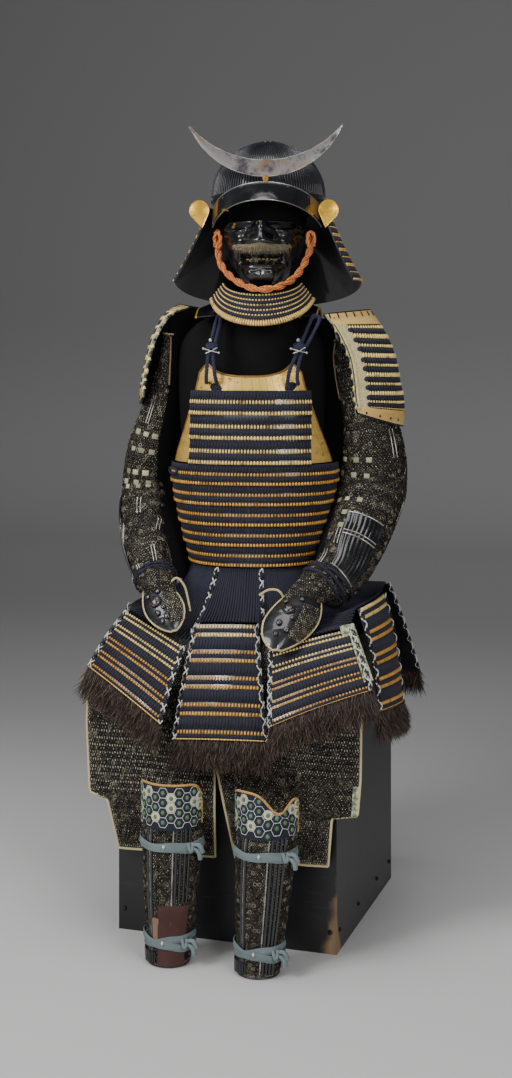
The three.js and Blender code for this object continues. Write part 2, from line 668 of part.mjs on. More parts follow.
// Hand guards: shields that taper from the knuckles to a tip, arched over the back of the hand.
const HAND_GUARD = {
  left: { wrist: [-172, -172, 652], tip: [-128, -228, 580], right: [0.95, 0.1, 0.29], half: 37 },
  right: { wrist: [114, -206, 646], tip: [73, -312, 564], right: [0.96, 0.26, -0.12], half: 50 },
};
const HAND_OUTLINE = [
  { along: 0, width: 0.66 },
  { along: 0.25, width: 0.92 },
  { along: 0.5, width: 1 },
  { along: 0.75, width: 0.8 },
  { along: 0.92, width: 0.45 },
  { along: 1, width: 0.15 },
];

function buildHandGuards() {
  for (const side of ["left", "right"]) {
    const guard = HAND_GUARD[side];
    const wrist = vec(...guard.wrist);
    const reach = vec(...guard.tip).sub(wrist);
    const right = vec(...guard.right).normalize();
    const up = reach.clone().cross(right).normalize();
    const shell = HAND_OUTLINE.map((row) => Array.from({ length: 7 }, (_, i) => {
      const across = (i / 3 - 1);
      const arch = 0.38 * guard.half * row.width * (1 - across * across);
      return wrist.clone().addScaledVector(reach, row.along)
        .addScaledVector(right, across * row.width * guard.half)
        .addScaledVector(up, arch);
    }));
    addMesh(torso, `hand_guard_${side}`, wall(shell, CLOTH), darkIron);
  }
}

// ---- skirt: waist lacing, seven tassets and their fur hems ------------------------------------
// Corners as seen from outside; each panel bows out by `bow` between its side edges, and its
// waist lacing sags by `slack`.
const TASSETS = [
  { name: "front", topLeft: [-58, -222, 590], topRight: [64, -222, 596],
    lowRight: [108, -300, 400], lowLeft: [-74, -300, 391], bow: 8, slack: 14 },
  { name: "front_right", topLeft: [98, -252, 557], topRight: [242, -208, 596],
    lowRight: [298, -282, 502], lowLeft: [118, -326, 432], bow: 10, slack: 38 },
  { name: "side_right", topLeft: [243, -142, 634], topRight: [228, 96, 614],
    lowRight: [262, 110, 400], lowLeft: [286, -165, 448], bow: 10, slack: 46 },
  { name: "back_right", topLeft: [212, 216, 616], topRight: [7, 238, 598],
    lowRight: [9, 300, 404], lowLeft: [262, 276, 430], bow: 10, slack: 18 },
  { name: "back_left", topLeft: [-7, 238, 598], topRight: [-212, 216, 616],
    lowRight: [-262, 276, 430], lowLeft: [-9, 300, 404], bow: 10, slack: 18 },
  { name: "side_left", topLeft: [-228, 96, 614], topRight: [-243, -142, 634],
    lowRight: [-286, -165, 448], lowLeft: [-262, 110, 400], bow: 10, slack: 40 },
  { name: "front_left", topLeft: [-206, -206, 604], topRight: [-70, -252, 551],
    lowRight: [-88, -326, 423], lowLeft: [-254, -274, 508], bow: 10, slack: 24 },
];
const TASSET_LAMES = 5;
const TASSET_COLS = 6;
const TASSET_SAG = { side: 0.35, foot: 0.65, belly: 7 };
const FUR = { start: 2.5, drop: 58, outside: 10, inside: 12, droop: 0.55 };
const LACING = { cols: 4, rows: 4, waistDrop: 3, inset: 2, reach: 0.95, middleX: 10 };

function tassetPoint(tasset, u, v) {
  const corner = (name) => vec(...tasset[name]);
  const top = corner("topLeft").lerp(corner("topRight"), u);
  const low = corner("lowLeft").lerp(corner("lowRight"), u);
  const across = corner("topRight").sub(corner("topLeft"));
  const down = corner("lowLeft").sub(corner("topLeft"));
  const out = down.cross(across).normalize();
  const share = TASSET_SAG.side + TASSET_SAG.foot * v;
  const bow = tasset.bow * 4 * u * (1 - u) * share + TASSET_SAG.belly * Math.sin(Math.PI * v);
  return top.lerp(low, v).addScaledVector(out, bow);
}

function furPoint(tasset, u, v) {
  const start = tassetPoint(tasset, u, 1);
  const slope = start.clone().sub(tassetPoint(tasset, u, 0.7)).normalize();
  const fall = slope.lerp(vec(0, 0, -1), FUR.droop * v).normalize();
  return start.addScaledVector(fall, FUR.start + FUR.drop * v);
}

// A point on the lacing that hangs a tasset from the cuirass's foot.
function lacingPoint(tasset, u, v) {
  const low = tassetPoint(tasset, u, 0);
  const turn = THREE.MathUtils.radToDeg(Math.atan2(low.x + LACING.middleX, -low.y)) - TORSO_TURN;
  const waist = torso.localToWorld(cuirassPoint(turn, WAIST_Z - LACING.waistDrop, -LACING.inset));
  const sag = vec(0, 0, -tasset.slack * Math.sin(Math.PI * v));
  return waist.lerp(low, v * LACING.reach).add(sag);
}

function buildSkirt() {
  for (const tasset of TASSETS) {
    const panel = grid(TASSET_COLS, TASSET_LAMES + 1, (u, v) => tassetPoint(tasset, u, v));
    addMesh(root, `tasset_${tasset.name}`, wall(panel, LAME), navyLacing);
    const hem = grid(5, 3, (u, v) => furPoint(tasset, u, v));
    addMesh(root, `fur_${tasset.name}`, wall(hem, FUR.inside, { outside: FUR.outside }), brownFur);
  }
  torso.updateMatrixWorld(true);
  const rows = Array.from({ length: LACING.rows }, (_, j) => j / (LACING.rows - 1));
  const lacing = rows.map((v) => TASSETS.flatMap((tasset) =>
    Array.from({ length: LACING.cols }, (_, i) => lacingPoint(tasset, i / (LACING.cols - 1), v))));
  addMesh(root, "waist_lacing", wall(lacing, CLOTH, { round: true }), navyLacing);
}

// ---- thigh guards ---------------------------------------------------------------------------
// Each half lies on the lid, turns over its front edge and hangs down with a step in its outer edge.
const THIGH_GUARD = {
  left: [
    { y: -130, z: 562, left: -150, right: -14 },
    { y: -222, z: 562, left: -200, right: -14 },
    { y: -236, z: 546, left: -226, right: -14 },
    { y: -240, z: 470, left: -268, right: -14 },
    { y: -242, z: 400, left: -271, right: -14 },
    { y: -244, z: 264, left: -264, right: -14 },
    { y: -244, z: 256, left: -228, right: -14 },
    { y: -245, z: 164, left: -203, right: -12 },
  ],
  right: [
    { y: -130, z: 562, left: -9, right: 150 },
    { y: -222, z: 562, left: -9, right: 200 },
    { y: -236, z: 546, left: -9, right: 226 },
    { y: -240, z: 470, left: -9, right: 266 },
    { y: -242, z: 330, left: -9, right: 265 },
    { y: -244, z: 264, left: 6, right: 260 },
    { y: -244, z: 256, left: 8, right: 212 },
    { y: -245, z: 168, left: 29, right: 205 },
  ],
};

function buildThighGuards() {
  for (const side of ["left", "right"]) {
    const shell = THIGH_GUARD[side].map((row) => Array.from({ length: 10 }, (_, i) => {
      const u = i / 9;
      const wave = 3 * Math.sin(Math.PI * (3 * u + 0.3));
      return vec(lerp(row.left, row.right, u), row.y - (row.z < 500 ? wave : 0), row.z);
    }));
    addMesh(root, `thigh_guard_${side}`, wall(shell, MAIL), mailCloth);
  }
}

// ---- shin guards, knee plates and ties --------------------------------------------------------
const SHIN = {
  y: -336, spread: 112,
  left: {
    post: -64,
    rows: [
      { z: 262, x: -60, halfWidth: 52, halfDepth: 46 },
      { z: 225, x: -62, halfWidth: 53, halfDepth: 46 },
      { z: 130, x: -64, halfWidth: 48, halfDepth: 44 },
      { z: 55, x: -66, halfWidth: 42, halfDepth: 40 },
      { z: 2, x: -68, halfWidth: 38, halfDepth: 38 },
    ],
  },
  right: {
    post: 108,
    rows: [
      { z: 262, x: 120, halfWidth: 52, halfDepth: 46 },
      { z: 225, x: 116, halfWidth: 52, halfDepth: 46 },
      { z: 130, x: 110, halfWidth: 47, halfDepth: 44 },
      { z: 55, x: 105, halfWidth: 41, halfDepth: 40 },
      { z: 2, x: 102, halfWidth: 38, halfDepth: 38 },
    ],
  },
};
const KNEE = { low: 250, high: 331, out: 5, spread: 84 };
const TIES = [
  { name: "upper", low: 206, high: 232 },
  { name: "lower", low: 32, high: 58 },
];

function shinPoint(side, turn, z, out = 0) {
  const row = rowAt(SHIN[side].rows, "z", z);
  return oval(turn, {
    x: row.x, y: SHIN.y, z, halfWidth: row.halfWidth + out, halfDepth: row.halfDepth + out,
  });
}

function buildShins() {
  for (const side of ["left", "right"]) {
    const shell = SHIN[side].rows.map((row) => Array.from({ length: 13 }, (_, i) =>
      shinPoint(side, lerp(-SHIN.spread, SHIN.spread, i / 12), row.z)));
    addMesh(root, `shin_guard_${side}`, wall(shell, LAME), darkIron);
    const knee = grid(11, 5, (u, v) => {
      const across = 2 * u - 1;
      const notch = side === "right" ? 34 * bump(across - 0.42, 0.3) * (1 - v) : 0;
      const top = KNEE.high - 16 * Math.abs(across) ** 4 - notch;
      const z = lerp(top, KNEE.low + 8 * across * across, v);
      return shinPoint(side, KNEE.spread * across, Math.min(z, 262), KNEE.out).setZ(z);
    });
    addMesh(root, `knee_plate_${side}`, wall(knee, CLOTH), hexBrocade);
    for (const tie of TIES) {
      const band = [tie.high, (tie.high + tie.low) / 2, tie.low].map((z, k) =>
        Array.from({ length: 16 }, (_, i) => shinPoint(side, 22.5 * i, z, k === 1 ? 5 : 4)));
      addMesh(root, `tie_${tie.name}_${side}`, wall(band, CLOTH - 0.4, { round: true }), paleTie);
    }
  }
}

buildBox();
buildStand();
buildBowl();
buildPeak();
buildCrest();
buildNeckGuard();
buildFlaps();
buildMask();
buildThroatGuard();
buildChinCord();
buildLowerCuirass();
buildUpperCuirass();
buildStraps();
buildToggleCords();
buildShoulderGuards();
buildSleeves();
buildHandGuards();
buildSkirt();
buildThighGuards();
buildShins();

export default root;
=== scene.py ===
# A samurai armour set up as if seated on its own storage box.
# Metres, +Z up, front towards -Y; the tables are in millimetres and MM turns them into metres.
# Left and right are as seen by someone facing the armour.
import random
from math import asin, atan2, ceil, copysign, cos, degrees, exp, pi, radians, sin, sqrt, tau

import bpy
import numpy as np
from mathutils import Matrix, Vector


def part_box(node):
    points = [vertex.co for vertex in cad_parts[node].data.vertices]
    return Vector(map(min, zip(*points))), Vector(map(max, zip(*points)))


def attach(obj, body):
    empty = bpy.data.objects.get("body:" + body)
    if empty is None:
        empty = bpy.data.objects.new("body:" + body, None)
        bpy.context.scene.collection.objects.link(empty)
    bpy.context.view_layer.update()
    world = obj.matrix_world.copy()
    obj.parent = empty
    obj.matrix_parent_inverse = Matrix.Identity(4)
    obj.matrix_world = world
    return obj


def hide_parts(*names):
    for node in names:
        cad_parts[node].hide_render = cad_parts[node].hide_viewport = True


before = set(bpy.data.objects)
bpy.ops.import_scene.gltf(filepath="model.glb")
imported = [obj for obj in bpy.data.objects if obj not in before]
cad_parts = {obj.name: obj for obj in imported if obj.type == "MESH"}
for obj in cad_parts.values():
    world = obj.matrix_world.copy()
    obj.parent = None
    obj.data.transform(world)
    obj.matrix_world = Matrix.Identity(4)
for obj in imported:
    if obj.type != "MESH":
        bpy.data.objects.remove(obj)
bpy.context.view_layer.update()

MM = 0.001
SIDES = ("left", "right")
# The upper body and the helmet are each turned a little on the stand.
TORSO = Matrix.Translation((-0.014, 0.0, 0.0)) @ Matrix.Rotation(radians(12), 4, "Z")
HEAD = Matrix.Translation((0.014, 0.004, 0.0)) @ Matrix.Rotation(radians(14), 4, "Z")
ROOT = Matrix.Identity(4)
RIGHT, UP, FRONT = Vector((1, 0, 0)), Vector((0, 0, 1)), Vector((0, -1, 0))
FACING = (RIGHT, UP, FRONT)


# ---- camera, floor and light ----
def build_studio():
    """A level camera turned a little to the left, a swept backdrop painted with light and shade, and
    six softboxes.
    """
    camera = bpy.data.cameras.new("camera")
    camera.lens, camera.sensor_width, camera.shift_y, camera.clip_end = 52.95, 36, -0.1846, 60
    stand = bpy.data.objects.new("camera", camera)
    stand.location = (0.96575, -3.02368, 1.12455)
    stand.rotation_euler = (radians(90), 0, radians(17.9))
    bpy.context.scene.collection.objects.link(stand)
    bpy.context.scene.camera = stand

    half, front, back, height, bend = 14.0, -9.0, 7.6, 10.0, 2.4
    profile = [(front, 0.0), (back - bend, 0.0)]
    profile += [
        (back - bend + bend * sin(a), bend - bend * cos(a))
        for a in np.linspace(0.15, pi / 2, 12)
    ]
    profile.append((back, height))
    points = [(x, y, z) for y, z in profile for x in (-half, half)]
    faces = [(2 * i, 2 * i + 1, 2 * i + 3, 2 * i + 2) for i in range(len(profile) - 1)]
    mesh = bpy.data.meshes.new("floor")
    mesh.from_pydata(points, [], faces)
    mesh.polygons.foreach_set("use_smooth", [True] * len(faces))
    floor = bpy.data.objects.new("floor", mesh)
    bpy.context.scene.collection.objects.link(floor)
    paint = Finish("floor_painted_light", roughness=0.9)
    _, depth, rise = paint.axes(paint.place())
    pale, grey = (0.62, 0.615, 0.61, 1), (0.4, 0.397, 0.394, 1)
    wall_painted_shade = (0.475, 0.47, 0.466, 1)
    # Painted light and shade: pale under the armour, greyer behind it and pale again before the
    # backdrop rises, with a darker grey painted up the wall.
    ground = paint.mix(depth.step(-0.1, 1.6) * depth.below(2.8, 5.4), pale, grey)
    paint.surface(base_color=paint.mix(rise.step(0.2, 1.4), ground, wall_painted_shade))
    mesh.materials.append(paint.material)

    world = bpy.data.worlds.new("studio")
    world.use_nodes = True
    sky = world.node_tree.nodes["Background"].inputs
    sky["Color"].default_value, sky["Strength"].default_value = (0.82, 0.84, 0.88, 1), 0.11
    bpy.context.scene.world = world

    softboxes = (  # name, place, aim, width, height, power
        ("key", (-1.9, -3.0, 2.9), (0.0, 0.0, 0.9), 1.5, 2.0, 95),
        ("fill", (2.9, -2.6, 1.9), (0.0, 0.0, 0.8), 1.4, 2.0, 40),
        ("top", (0.1, -0.6, 3.4), (0.0, 0.0, 0.8), 2.0, 1.6, 42),
        ("low", (0.2, -3.6, 0.5), (0.0, 0.0, 0.5), 2.4, 0.8, 12),
        ("left_spark", (-0.8, -2.1, 1.62), (0.0, -0.12, 1.28), 0.34, 0.34, 9),
        ("right_spark", (1.5, -2.2, 1.6), (0.0, -0.12, 1.28), 0.34, 0.34, 9),
    )
    for name, place, aim, width, height, power in softboxes:
        light = bpy.data.lights.new(name, "AREA")
        light.shape = "RECTANGLE"
        light.size, light.size_y = width, height
        light.energy = power
        lamp = bpy.data.objects.new(name, light)
        lamp.location = place
        lamp.rotation_euler = (Vector(aim) - Vector(place)).to_track_quat("-Z", "Y").to_euler()
        bpy.context.scene.collection.objects.link(lamp)


# ---- finishes: shader arithmetic ----
def srgb(red, green, blue):
    """A colour from 0 to 255 as the shader's linear one."""
    def linear(part):
        share = part / 255
        return share / 12.92 if share <= 0.04045 else ((share + 0.055) / 1.055) ** 2.4
    return (linear(red), linear(green), linear(blue), 1.0)


class Value:
    """A shader socket; arithmetic on values adds Math nodes."""

    def __init__(self, finish, socket):
        self.finish = finish
        self.socket = socket

    def maths(self, operation, *values):
        return self.finish.node("Math", dict(enumerate(values)), operation=operation)

    def __add__(self, other):
        return self.maths("ADD", self, other)

    def __radd__(self, other):
        return self.maths("ADD", other, self)

    def __sub__(self, other):
        return self.maths("SUBTRACT", self, other)

    def __rsub__(self, other):
        return self.maths("SUBTRACT", other, self)

    def __mul__(self, other):
        return self.maths("MULTIPLY", self, other)

    def __rmul__(self, other):
        return self.maths("MULTIPLY", other, self)

    def __truediv__(self, other):
        return self.maths("DIVIDE", self, other)

    def __abs__(self):
        return self.maths("ABSOLUTE", self)

    def wave(self):
        return self.maths("SINE", self)

    def step(self, low, high):
        """0 below low, 1 above high, and smooth between."""
        return self.finish.node(
            "MapRange", {"Value": self, "From Min": low, "From Max": high},
            interpolation_type="SMOOTHSTEP",
        )

    def below(self, start, end):
        """1 below start, 0 above end."""
        return 1.0 - self.step(start, end)

    def least(self, other):
        return self.maths("MINIMUM", self, other)


class Finish:
    """A material in the making; `node` is the one way to add a shader node."""

    def __init__(self, name, **surface):
        self.material = bpy.data.materials.new(name)
        self.material.use_nodes = True
        self.tree = self.material.node_tree
        self.shader = self.tree.nodes["Principled BSDF"]
        self.surface(**surface)

    def feed(self, socket, value):
        if isinstance(value, Value):
            self.tree.links.new(value.socket, socket)
        else:
            socket.default_value = value

    def node(self, kind, inputs=None, output=0, stops=None, **settings):
        made = self.tree.nodes.new("ShaderNode" + kind)
        for name, value in settings.items():
            setattr(made, name, value)
        if stops:
            ramp = made.color_ramp
            while len(ramp.elements) < len(stops):
                ramp.elements.new(0.5)
            for element, (place, colour) in zip(ramp.elements, stops):
                element.position = place
                element.color = colour
        for name, value in (inputs or {}).items():
            self.feed(made.inputs[name], value)
        return Value(self, made.outputs[output])

    def surface(self, **sockets):
        """Sets the shader's sockets; base_color is Base Color, and so on."""
        for name, value in sockets.items():
            words = name.replace("_", " ").title().replace("Ior", "IOR")
            self.feed(self.shader.inputs[words], value)
        return self

    def place(self):
        return self.node("TexCoord", output="Object")

    def cloth_place(self):
        """The place on the piece's own sheet, in metres."""
        return self.node("TexCoord", output="UV")

    def axes(self, place):
        parts = self.node("SeparateXYZ", {0: place}).socket.node
        return [Value(self, parts.outputs[i]) for i in range(3)]

    def noise(self, scale, detail=3.0, place=None, roughness=0.5):
        inputs = {"Vector": place or self.place(), "Scale": scale, "Detail": detail}
        return self.node("TexNoise", {**inputs, "Roughness": roughness})

    def stretched(self, place, *scale):
        return self.node("Mapping", {"Vector": place, "Scale": scale})

    def mix(self, share, low, high):
        """low where share is 0 and high where it is 1, as colours."""
        return self.node("Mix", {0: share, 6: low, 7: high}, output=2, data_type="RGBA")

    def ramp(self, share, *stops):
        return self.node("ValToRGB", {0: share}, stops=stops)

    def bump(self, height, distance, strength=1.0):
        return self.node("Bump", {"Height": height, "Distance": distance, "Strength": strength})

    def tone(self):
        """A number that each repeated piece carries."""
        return self.node("Attribute", output="Fac", attribute_name="tone")


# ---- shapes ----
def lerp(low, high, share):
    return low + (high - low) * share


def bell(value, width):
    return exp(-((value / width) ** 2))


def table(columns, *rows):
    """Rows with named columns; `at` is each row's share of the way down the table."""
    names = columns.split()
    return [dict(zip(names, row), at=k / (len(rows) - 1)) for k, row in enumerate(rows)]


def row_at(rows, column, key, straight=False):
    """A row of a table read where `column` is key, on a smooth curve or a straight one."""
    rising = rows[-1][column] > rows[0][column]
    passed = sum(1 for row in rows if (row[column] <= key) == rising or row[column] == key)
    first = min(max(passed - 1, 0), len(rows) - 2)
    low, high = rows[first], rows[first + 1]
    before, after = rows[max(first - 1, 0)], rows[min(first + 2, len(rows) - 1)]
    gap = high[column] - low[column]
    share = (key - low[column]) / gap
    found = {}
    for name in low:
        found[name] = lerp(low[name], high[name], share)
        if not straight:
            start = (high[name] - before[name]) / (high[column] - before[column]) * gap
            end = (after[name] - low[name]) / (after[column] - low[column]) * gap
            eased = share * share * (3 - 2 * share)
            found[name] = lerp(low[name], high[name], eased)
            found[name] += share * (1 - share) * ((1 - share) * start - share * end)
    return found


def oval(turn, x, y, z, half_width, half_depth, squareness=2.0):
    """A point on a rounded oval; the turn is in degrees from the front, positive to the right."""
    s, c = sin(radians(turn)), cos(radians(turn))
    power = 2 / squareness
    return Vector((
        x + half_width * copysign(abs(s) ** power, s),
        y - half_depth * copysign(abs(c) ** power, c),
        z,
    ))


class Surface:
    """A sheet in space: u runs rightwards and v downwards, both from 0 to 1, as seen from outside.

    `point` gives a place in millimetres in the frame `held`, and the surface gives it in metres.
    """

    STEP = 1e-3

    def __init__(self, point, held=ROOT, closed=False):
        self.point = point
        self.held = held
        self.closed = closed
        self.width = self.length([(i / 32, 0.5) for i in range(33)])
        self.height = self.length([(0.5, i / 32) for i in range(33)])

    def length(self, places):
        points = [self.at(u, v) for u, v in places]
        return sum((b - a).length for a, b in zip(points, points[1:]))

    def at(self, u, v):
        return self.held @ (self.point(u, v) * MM)

    def axes(self, u, v):
        """Unit vectors right, up and outwards."""
        step = self.STEP
        us = (u - step, u + step) if self.closed else (max(u - step, 0), min(u + step, 1))
        vs = (max(v - step, 0), min(v + step, 1))
        right = (self.at(us[1], v) - self.at(us[0], v)).normalized()
        down = (self.at(u, vs[1]) - self.at(u, vs[0])).normalized()
        out = down.cross(right).normalized()
        return right, out.cross(right), out

    def even(self, v, pitch, low=0.0, high=1.0):
        """Places u at even steps of about `pitch` mm along a row, and the step."""
        us = np.linspace(low, high, 193)
        points = [self.at(u, v) for u in us]
        along = np.cumsum([0] + [(b - a).length / MM for a, b in zip(points, points[1:])])
        count = max(3, round(along[-1] / pitch))
        middles = (np.arange(count) + 0.5) * along[-1] / count
        return np.interp(middles, along, us), along[-1] / count

    def nearest(self, place, steps=60):
        """The (u, v) on a grid over the sheet that comes nearest to a place in metres."""
        spots = [(i / steps, j / steps) for i in range(steps + 1) for j in range(steps + 1)]
        return min(spots, key=lambda spot: (self.at(*spot) - place).length)

    def off(self, u, v, out):
        """A place `out` millimetres above the sheet, in metres."""
        return self.at(u, v) + self.axes(u, v)[2] * out * MM

    def line(self, start, end, out=0.0, steps=12):
        """Places from one (u, v) to another."""
        shares = [i / steps for i in range(steps + 1)]
        return [self.off(lerp(start[0], end[0], t), lerp(start[1], end[1], t), out) for t in shares]


# ---- meshes ----
CREASE = 50            # edges that turn by more degrees than this are sharp


def new_object(name, mesh, finish=None):
    piece = bpy.data.objects.new(name, mesh)
    bpy.context.scene.collection.objects.link(piece)
    if finish:
        mesh.materials.append(FINISH[finish])
    mesh.polygons.foreach_set("use_smooth", [True] * len(mesh.polygons))
    return piece


def make_mesh(name, points, faces, corners=None, crease=None):
    """A mesh, with a UV pair for each face corner where `corners` lists them."""
    mesh = bpy.data.meshes.new(name)
    mesh.from_pydata([tuple(p) for p in points], [], faces)
    if corners is not None:
        layer = mesh.uv_layers.new(name="UVMap")
        layer.data.foreach_set("uv", np.array(corners, np.float32).ravel())
    mesh.polygons.foreach_set("use_smooth", [True] * len(mesh.polygons))
    if crease is not None:
        mesh.set_sharp_from_angle(angle=radians(crease))
    return mesh


def shares(count):
    return [i / count for i in range(count + 1)]


def wall(name, surface, us, vs, thickness, finish, out=0.0, swell=None):
    """A closed wall `thickness` mm deep under a surface, with a UV map in metres.

    `us` and `vs` are the places of its rows and columns, or how many even steps there are.
    `swell(u, v)` moves a place of the wall further out, for creases and folds.
    """
    us, vs = (shares(cut) if isinstance(cut, int) else cut for cut in (us, vs))
    kept = len(us) - 1 if surface.closed else len(us)
    outer, inner = [], []
    for v in vs:
        for u in us[:kept]:
            place, normal = surface.at(u, v), surface.axes(u, v)[2] * MM
            reach = out + (swell(u, v) if swell else 0.0)
            outer.append(place + normal * reach)
            inner.append(place + normal * (reach - thickness))
    faces, corners = [], []

    def add(*places):
        faces.append([layer * len(outer) + j * kept + i % kept for layer, j, i in places])
        corners.extend((us[i] * surface.width, vs[j] * surface.height) for _, j, i in places)

    cols, rows = len(us) - 1, len(vs) - 1
    for j in range(rows):
        for i in range(cols):
            add((0, j, i), (0, j + 1, i), (0, j + 1, i + 1), (0, j, i + 1))
            add((1, j, i), (1, j, i + 1), (1, j + 1, i + 1), (1, j + 1, i))
    for i in range(cols):
        add((0, 0, i), (0, 0, i + 1), (1, 0, i + 1), (1, 0, i))
        add((0, rows, i + 1), (0, rows, i), (1, rows, i), (1, rows, i + 1))
    if not surface.closed:
        for j in range(rows):
            add((0, j + 1, 0), (0, j, 0), (1, j, 0), (1, j + 1, 0))
            add((0, j, cols), (0, j + 1, cols), (1, j + 1, cols), (1, j, cols))
    return new_object(name, make_mesh(name, outer + inner, faces, corners, CREASE), finish)


def loft(name, rings, finish, crease=CREASE):
    """A closed skin through rings of points, listed from top to bottom and turning to the right."""
    sides = len(rings[0])
    last = (len(rings) - 1) * sides
    faces = []
    for j in range(len(rings) - 1):
        for i in range(sides):
            a, b = j * sides + i, j * sides + (i + 1) % sides
            faces.append([a, a + sides, b + sides, b])
    faces.append(list(range(sides)))
    faces.append([last + i for i in reversed(range(sides))])
    points = [p for ring in rings for p in ring]
    return new_object(name, make_mesh(name, points, faces, None, crease), finish)


def lathe(name, profile, middle, finish, sides=24, crease=40):
    """An upright turned piece: `profile` lists (radius, height) from the top down, in mm."""
    rings = [
        [middle + Vector((
            radius * MM * sin(tau * i / sides),
            -radius * MM * cos(tau * i / sides),
            height * MM,
        )) for i in range(sides)]
        for radius, height in profile
    ]
    return loft(name, rings, finish, crease)


def joined(name, pieces):
    """One object from several, which keep their materials."""
    with bpy.context.temp_override(
        active_object=pieces[0], object=pieces[0],
        selected_objects=pieces, selected_editable_objects=pieces,
    ):
        bpy.ops.object.join()
    pieces[0].name = name
    return pieces[0]


def dress(piece, slot, *replaced):
    """Fixes a piece to the armour and hides the CAD nodes that it stands for; the slot is not used."""
    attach(piece, "root")
    if replaced:
        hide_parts(*replaced)
    return piece


# ---- geometry nodes: what repeats and what follows a line ----
class Tree:
    """A geometry node tree with named inputs, ending in Realize Instances and Set Material."""

    def __init__(self, name, **inputs):
        self.tree = bpy.data.node_groups.new(name, "GeometryNodeTree")
        face = self.tree.interface
        face.new_socket("Geometry", in_out="INPUT", socket_type="NodeSocketGeometry")
        for label, kind in {**inputs, "Material": "Material"}.items():
            face.new_socket(label, in_out="INPUT", socket_type="NodeSocket" + kind)
        face.new_socket("Geometry", in_out="OUTPUT", socket_type="NodeSocketGeometry")
        self.given = self.tree.nodes.new("NodeGroupInput").outputs
        self.sockets = {
            item.name: item.identifier for item in face.items_tree
            if item.in_out == "INPUT" and item.name != "Geometry"
        }

    def node(self, kind, inputs=None, output=0, **settings):
        made = self.tree.nodes.new(kind)
        for name, value in settings.items():
            setattr(made, name, value)
        for name, value in (inputs or {}).items():
            if isinstance(value, bpy.types.NodeSocket):
                self.tree.links.new(value, made.inputs[name])
            else:
                made.inputs[name].default_value = value
        return made.outputs[output]

    def attribute(self, name, kind="FLOAT_VECTOR"):
        return self.node("GeometryNodeInputNamedAttribute", {"Name": name}, data_type=kind)

    def finish(self, geometry):
        real = self.node("GeometryNodeRealizeInstances", {0: geometry})
        painted = self.node(
            "GeometryNodeSetMaterial", {"Geometry": real, "Material": self.given["Material"]}
        )
        end = self.tree.nodes.new("NodeGroupOutput")
        self.tree.links.new(painted, end.inputs[0])
        return self

    def run(self, name, mesh, **values):
        """The tree's result on a mesh, as a new plain object."""
        start = bpy.data.objects.new(name + "_start", mesh)
        bpy.context.scene.collection.objects.link(start)
        modifier = start.modifiers.new("nodes", "NODES")
        modifier.node_group = self.tree
        for label, value in values.items():
            modifier[self.sockets[label]] = value
        start.update_tag()
        graph = bpy.context.evaluated_depsgraph_get()
        result = bpy.data.meshes.new_from_object(start.evaluated_get(graph), depsgraph=graph)
        bpy.data.objects.remove(start)
        for spare in ("turn", "size", "radius", "flow"):
            if spare in result.attributes:
                result.attributes.remove(result.attributes[spare])
        result.name = name
        return new_object(name, result)


def repeat_tree():
    """Sets a unit piece on every point, turned and sized as the point says."""
    tree = Tree("repeat", Unit="Object")
    unit = tree.node("GeometryNodeObjectInfo", {"Object": tree.given["Unit"]}, output="Geometry")
    turn = tree.node("FunctionNodeEulerToRotation", {0: tree.attribute("turn")})
    return tree.finish(tree.node("GeometryNodeInstanceOnPoints", {
        "Points": tree.given["Geometry"], "Instance": unit,
        "Rotation": turn, "Scale": tree.attribute("size"),
    }))


def cord_tree():
    """Sweeps a round section along every line; the line's points carry their own radius."""
    tree = Tree("cord", Sides="Int")
    line = tree.node("GeometryNodeMeshToCurve", {0: tree.given["Geometry"]})
    section = tree.node("GeometryNodeCurvePrimitiveCircle", {
        "Resolution": tree.given["Sides"], "Radius": 1.0,
    })
    return tree.finish(tree.node("GeometryNodeCurveToMesh", {
        "Curve": line, "Profile Curve": section,
        "Scale": tree.attribute("radius", "FLOAT"), "Fill Caps": True,
    }))


def hair_tree():
    """Grows a blade from places spread over a skin, along the skin's flow with a random lean."""
    tree = Tree("hair", Blade="Object", Density="Float", Length="Float", Stray="Float", Seed="Int")
    spread = tree.node("GeometryNodeDistributePointsOnFaces", {
        "Mesh": tree.given["Geometry"], "Density": tree.given["Density"], "Seed": tree.given["Seed"],
    }, distribute_method="RANDOM")
    lean = tree.node("FunctionNodeRandomValue", {
        0: (-1.0, -1.0, -1.0), 1: (1.0, 1.0, 1.0), "Seed": tree.given["Seed"],
    }, data_type="FLOAT_VECTOR")
    scaled = tree.node("ShaderNodeVectorMath", {0: lean, 3: tree.given["Stray"]}, operation="SCALE")
    way = tree.node("ShaderNodeVectorMath", {0: tree.attribute("flow"), 1: scaled})
    turn = tree.node("FunctionNodeAlignRotationToVector", {"Vector": way}, axis="Z")
    reach = tree.node("FunctionNodeRandomValue", {2: 0.6, 3: 1.15, "Seed": tree.given["Seed"]},
                      output=1, data_type="FLOAT")
    size = tree.node("ShaderNodeMath", {0: reach, 1: tree.given["Length"]}, operation="MULTIPLY")
    blades = tree.node("GeometryNodeInstanceOnPoints", {
        "Points": spread,
        "Instance": tree.node(
            "GeometryNodeObjectInfo", {"Object": tree.given["Blade"]}, output="Geometry"
        ),
        "Rotation": turn, "Scale": size,
    })
    tone = tree.node("FunctionNodeRandomValue", {2: 0.0, 3: 1.0}, output=1, data_type="FLOAT")
    return tree.finish(tree.node("GeometryNodeStoreNamedAttribute", {
        "Geometry": blades, "Name": "tone", "Value": tone,
    }, data_type="FLOAT", domain="INSTANCE"))


REPEAT = repeat_tree()
CORD = cord_tree()
HAIR = hair_tree()


def part_of(surface, low_u, high_u, low_v, high_v, out=0.0):
    """A piece of a surface, `out` mm above it."""
    return Surface(lambda u, v: surface.off(lerp(low_u, high_u, u), lerp(low_v, high_v, v), out) / MM)


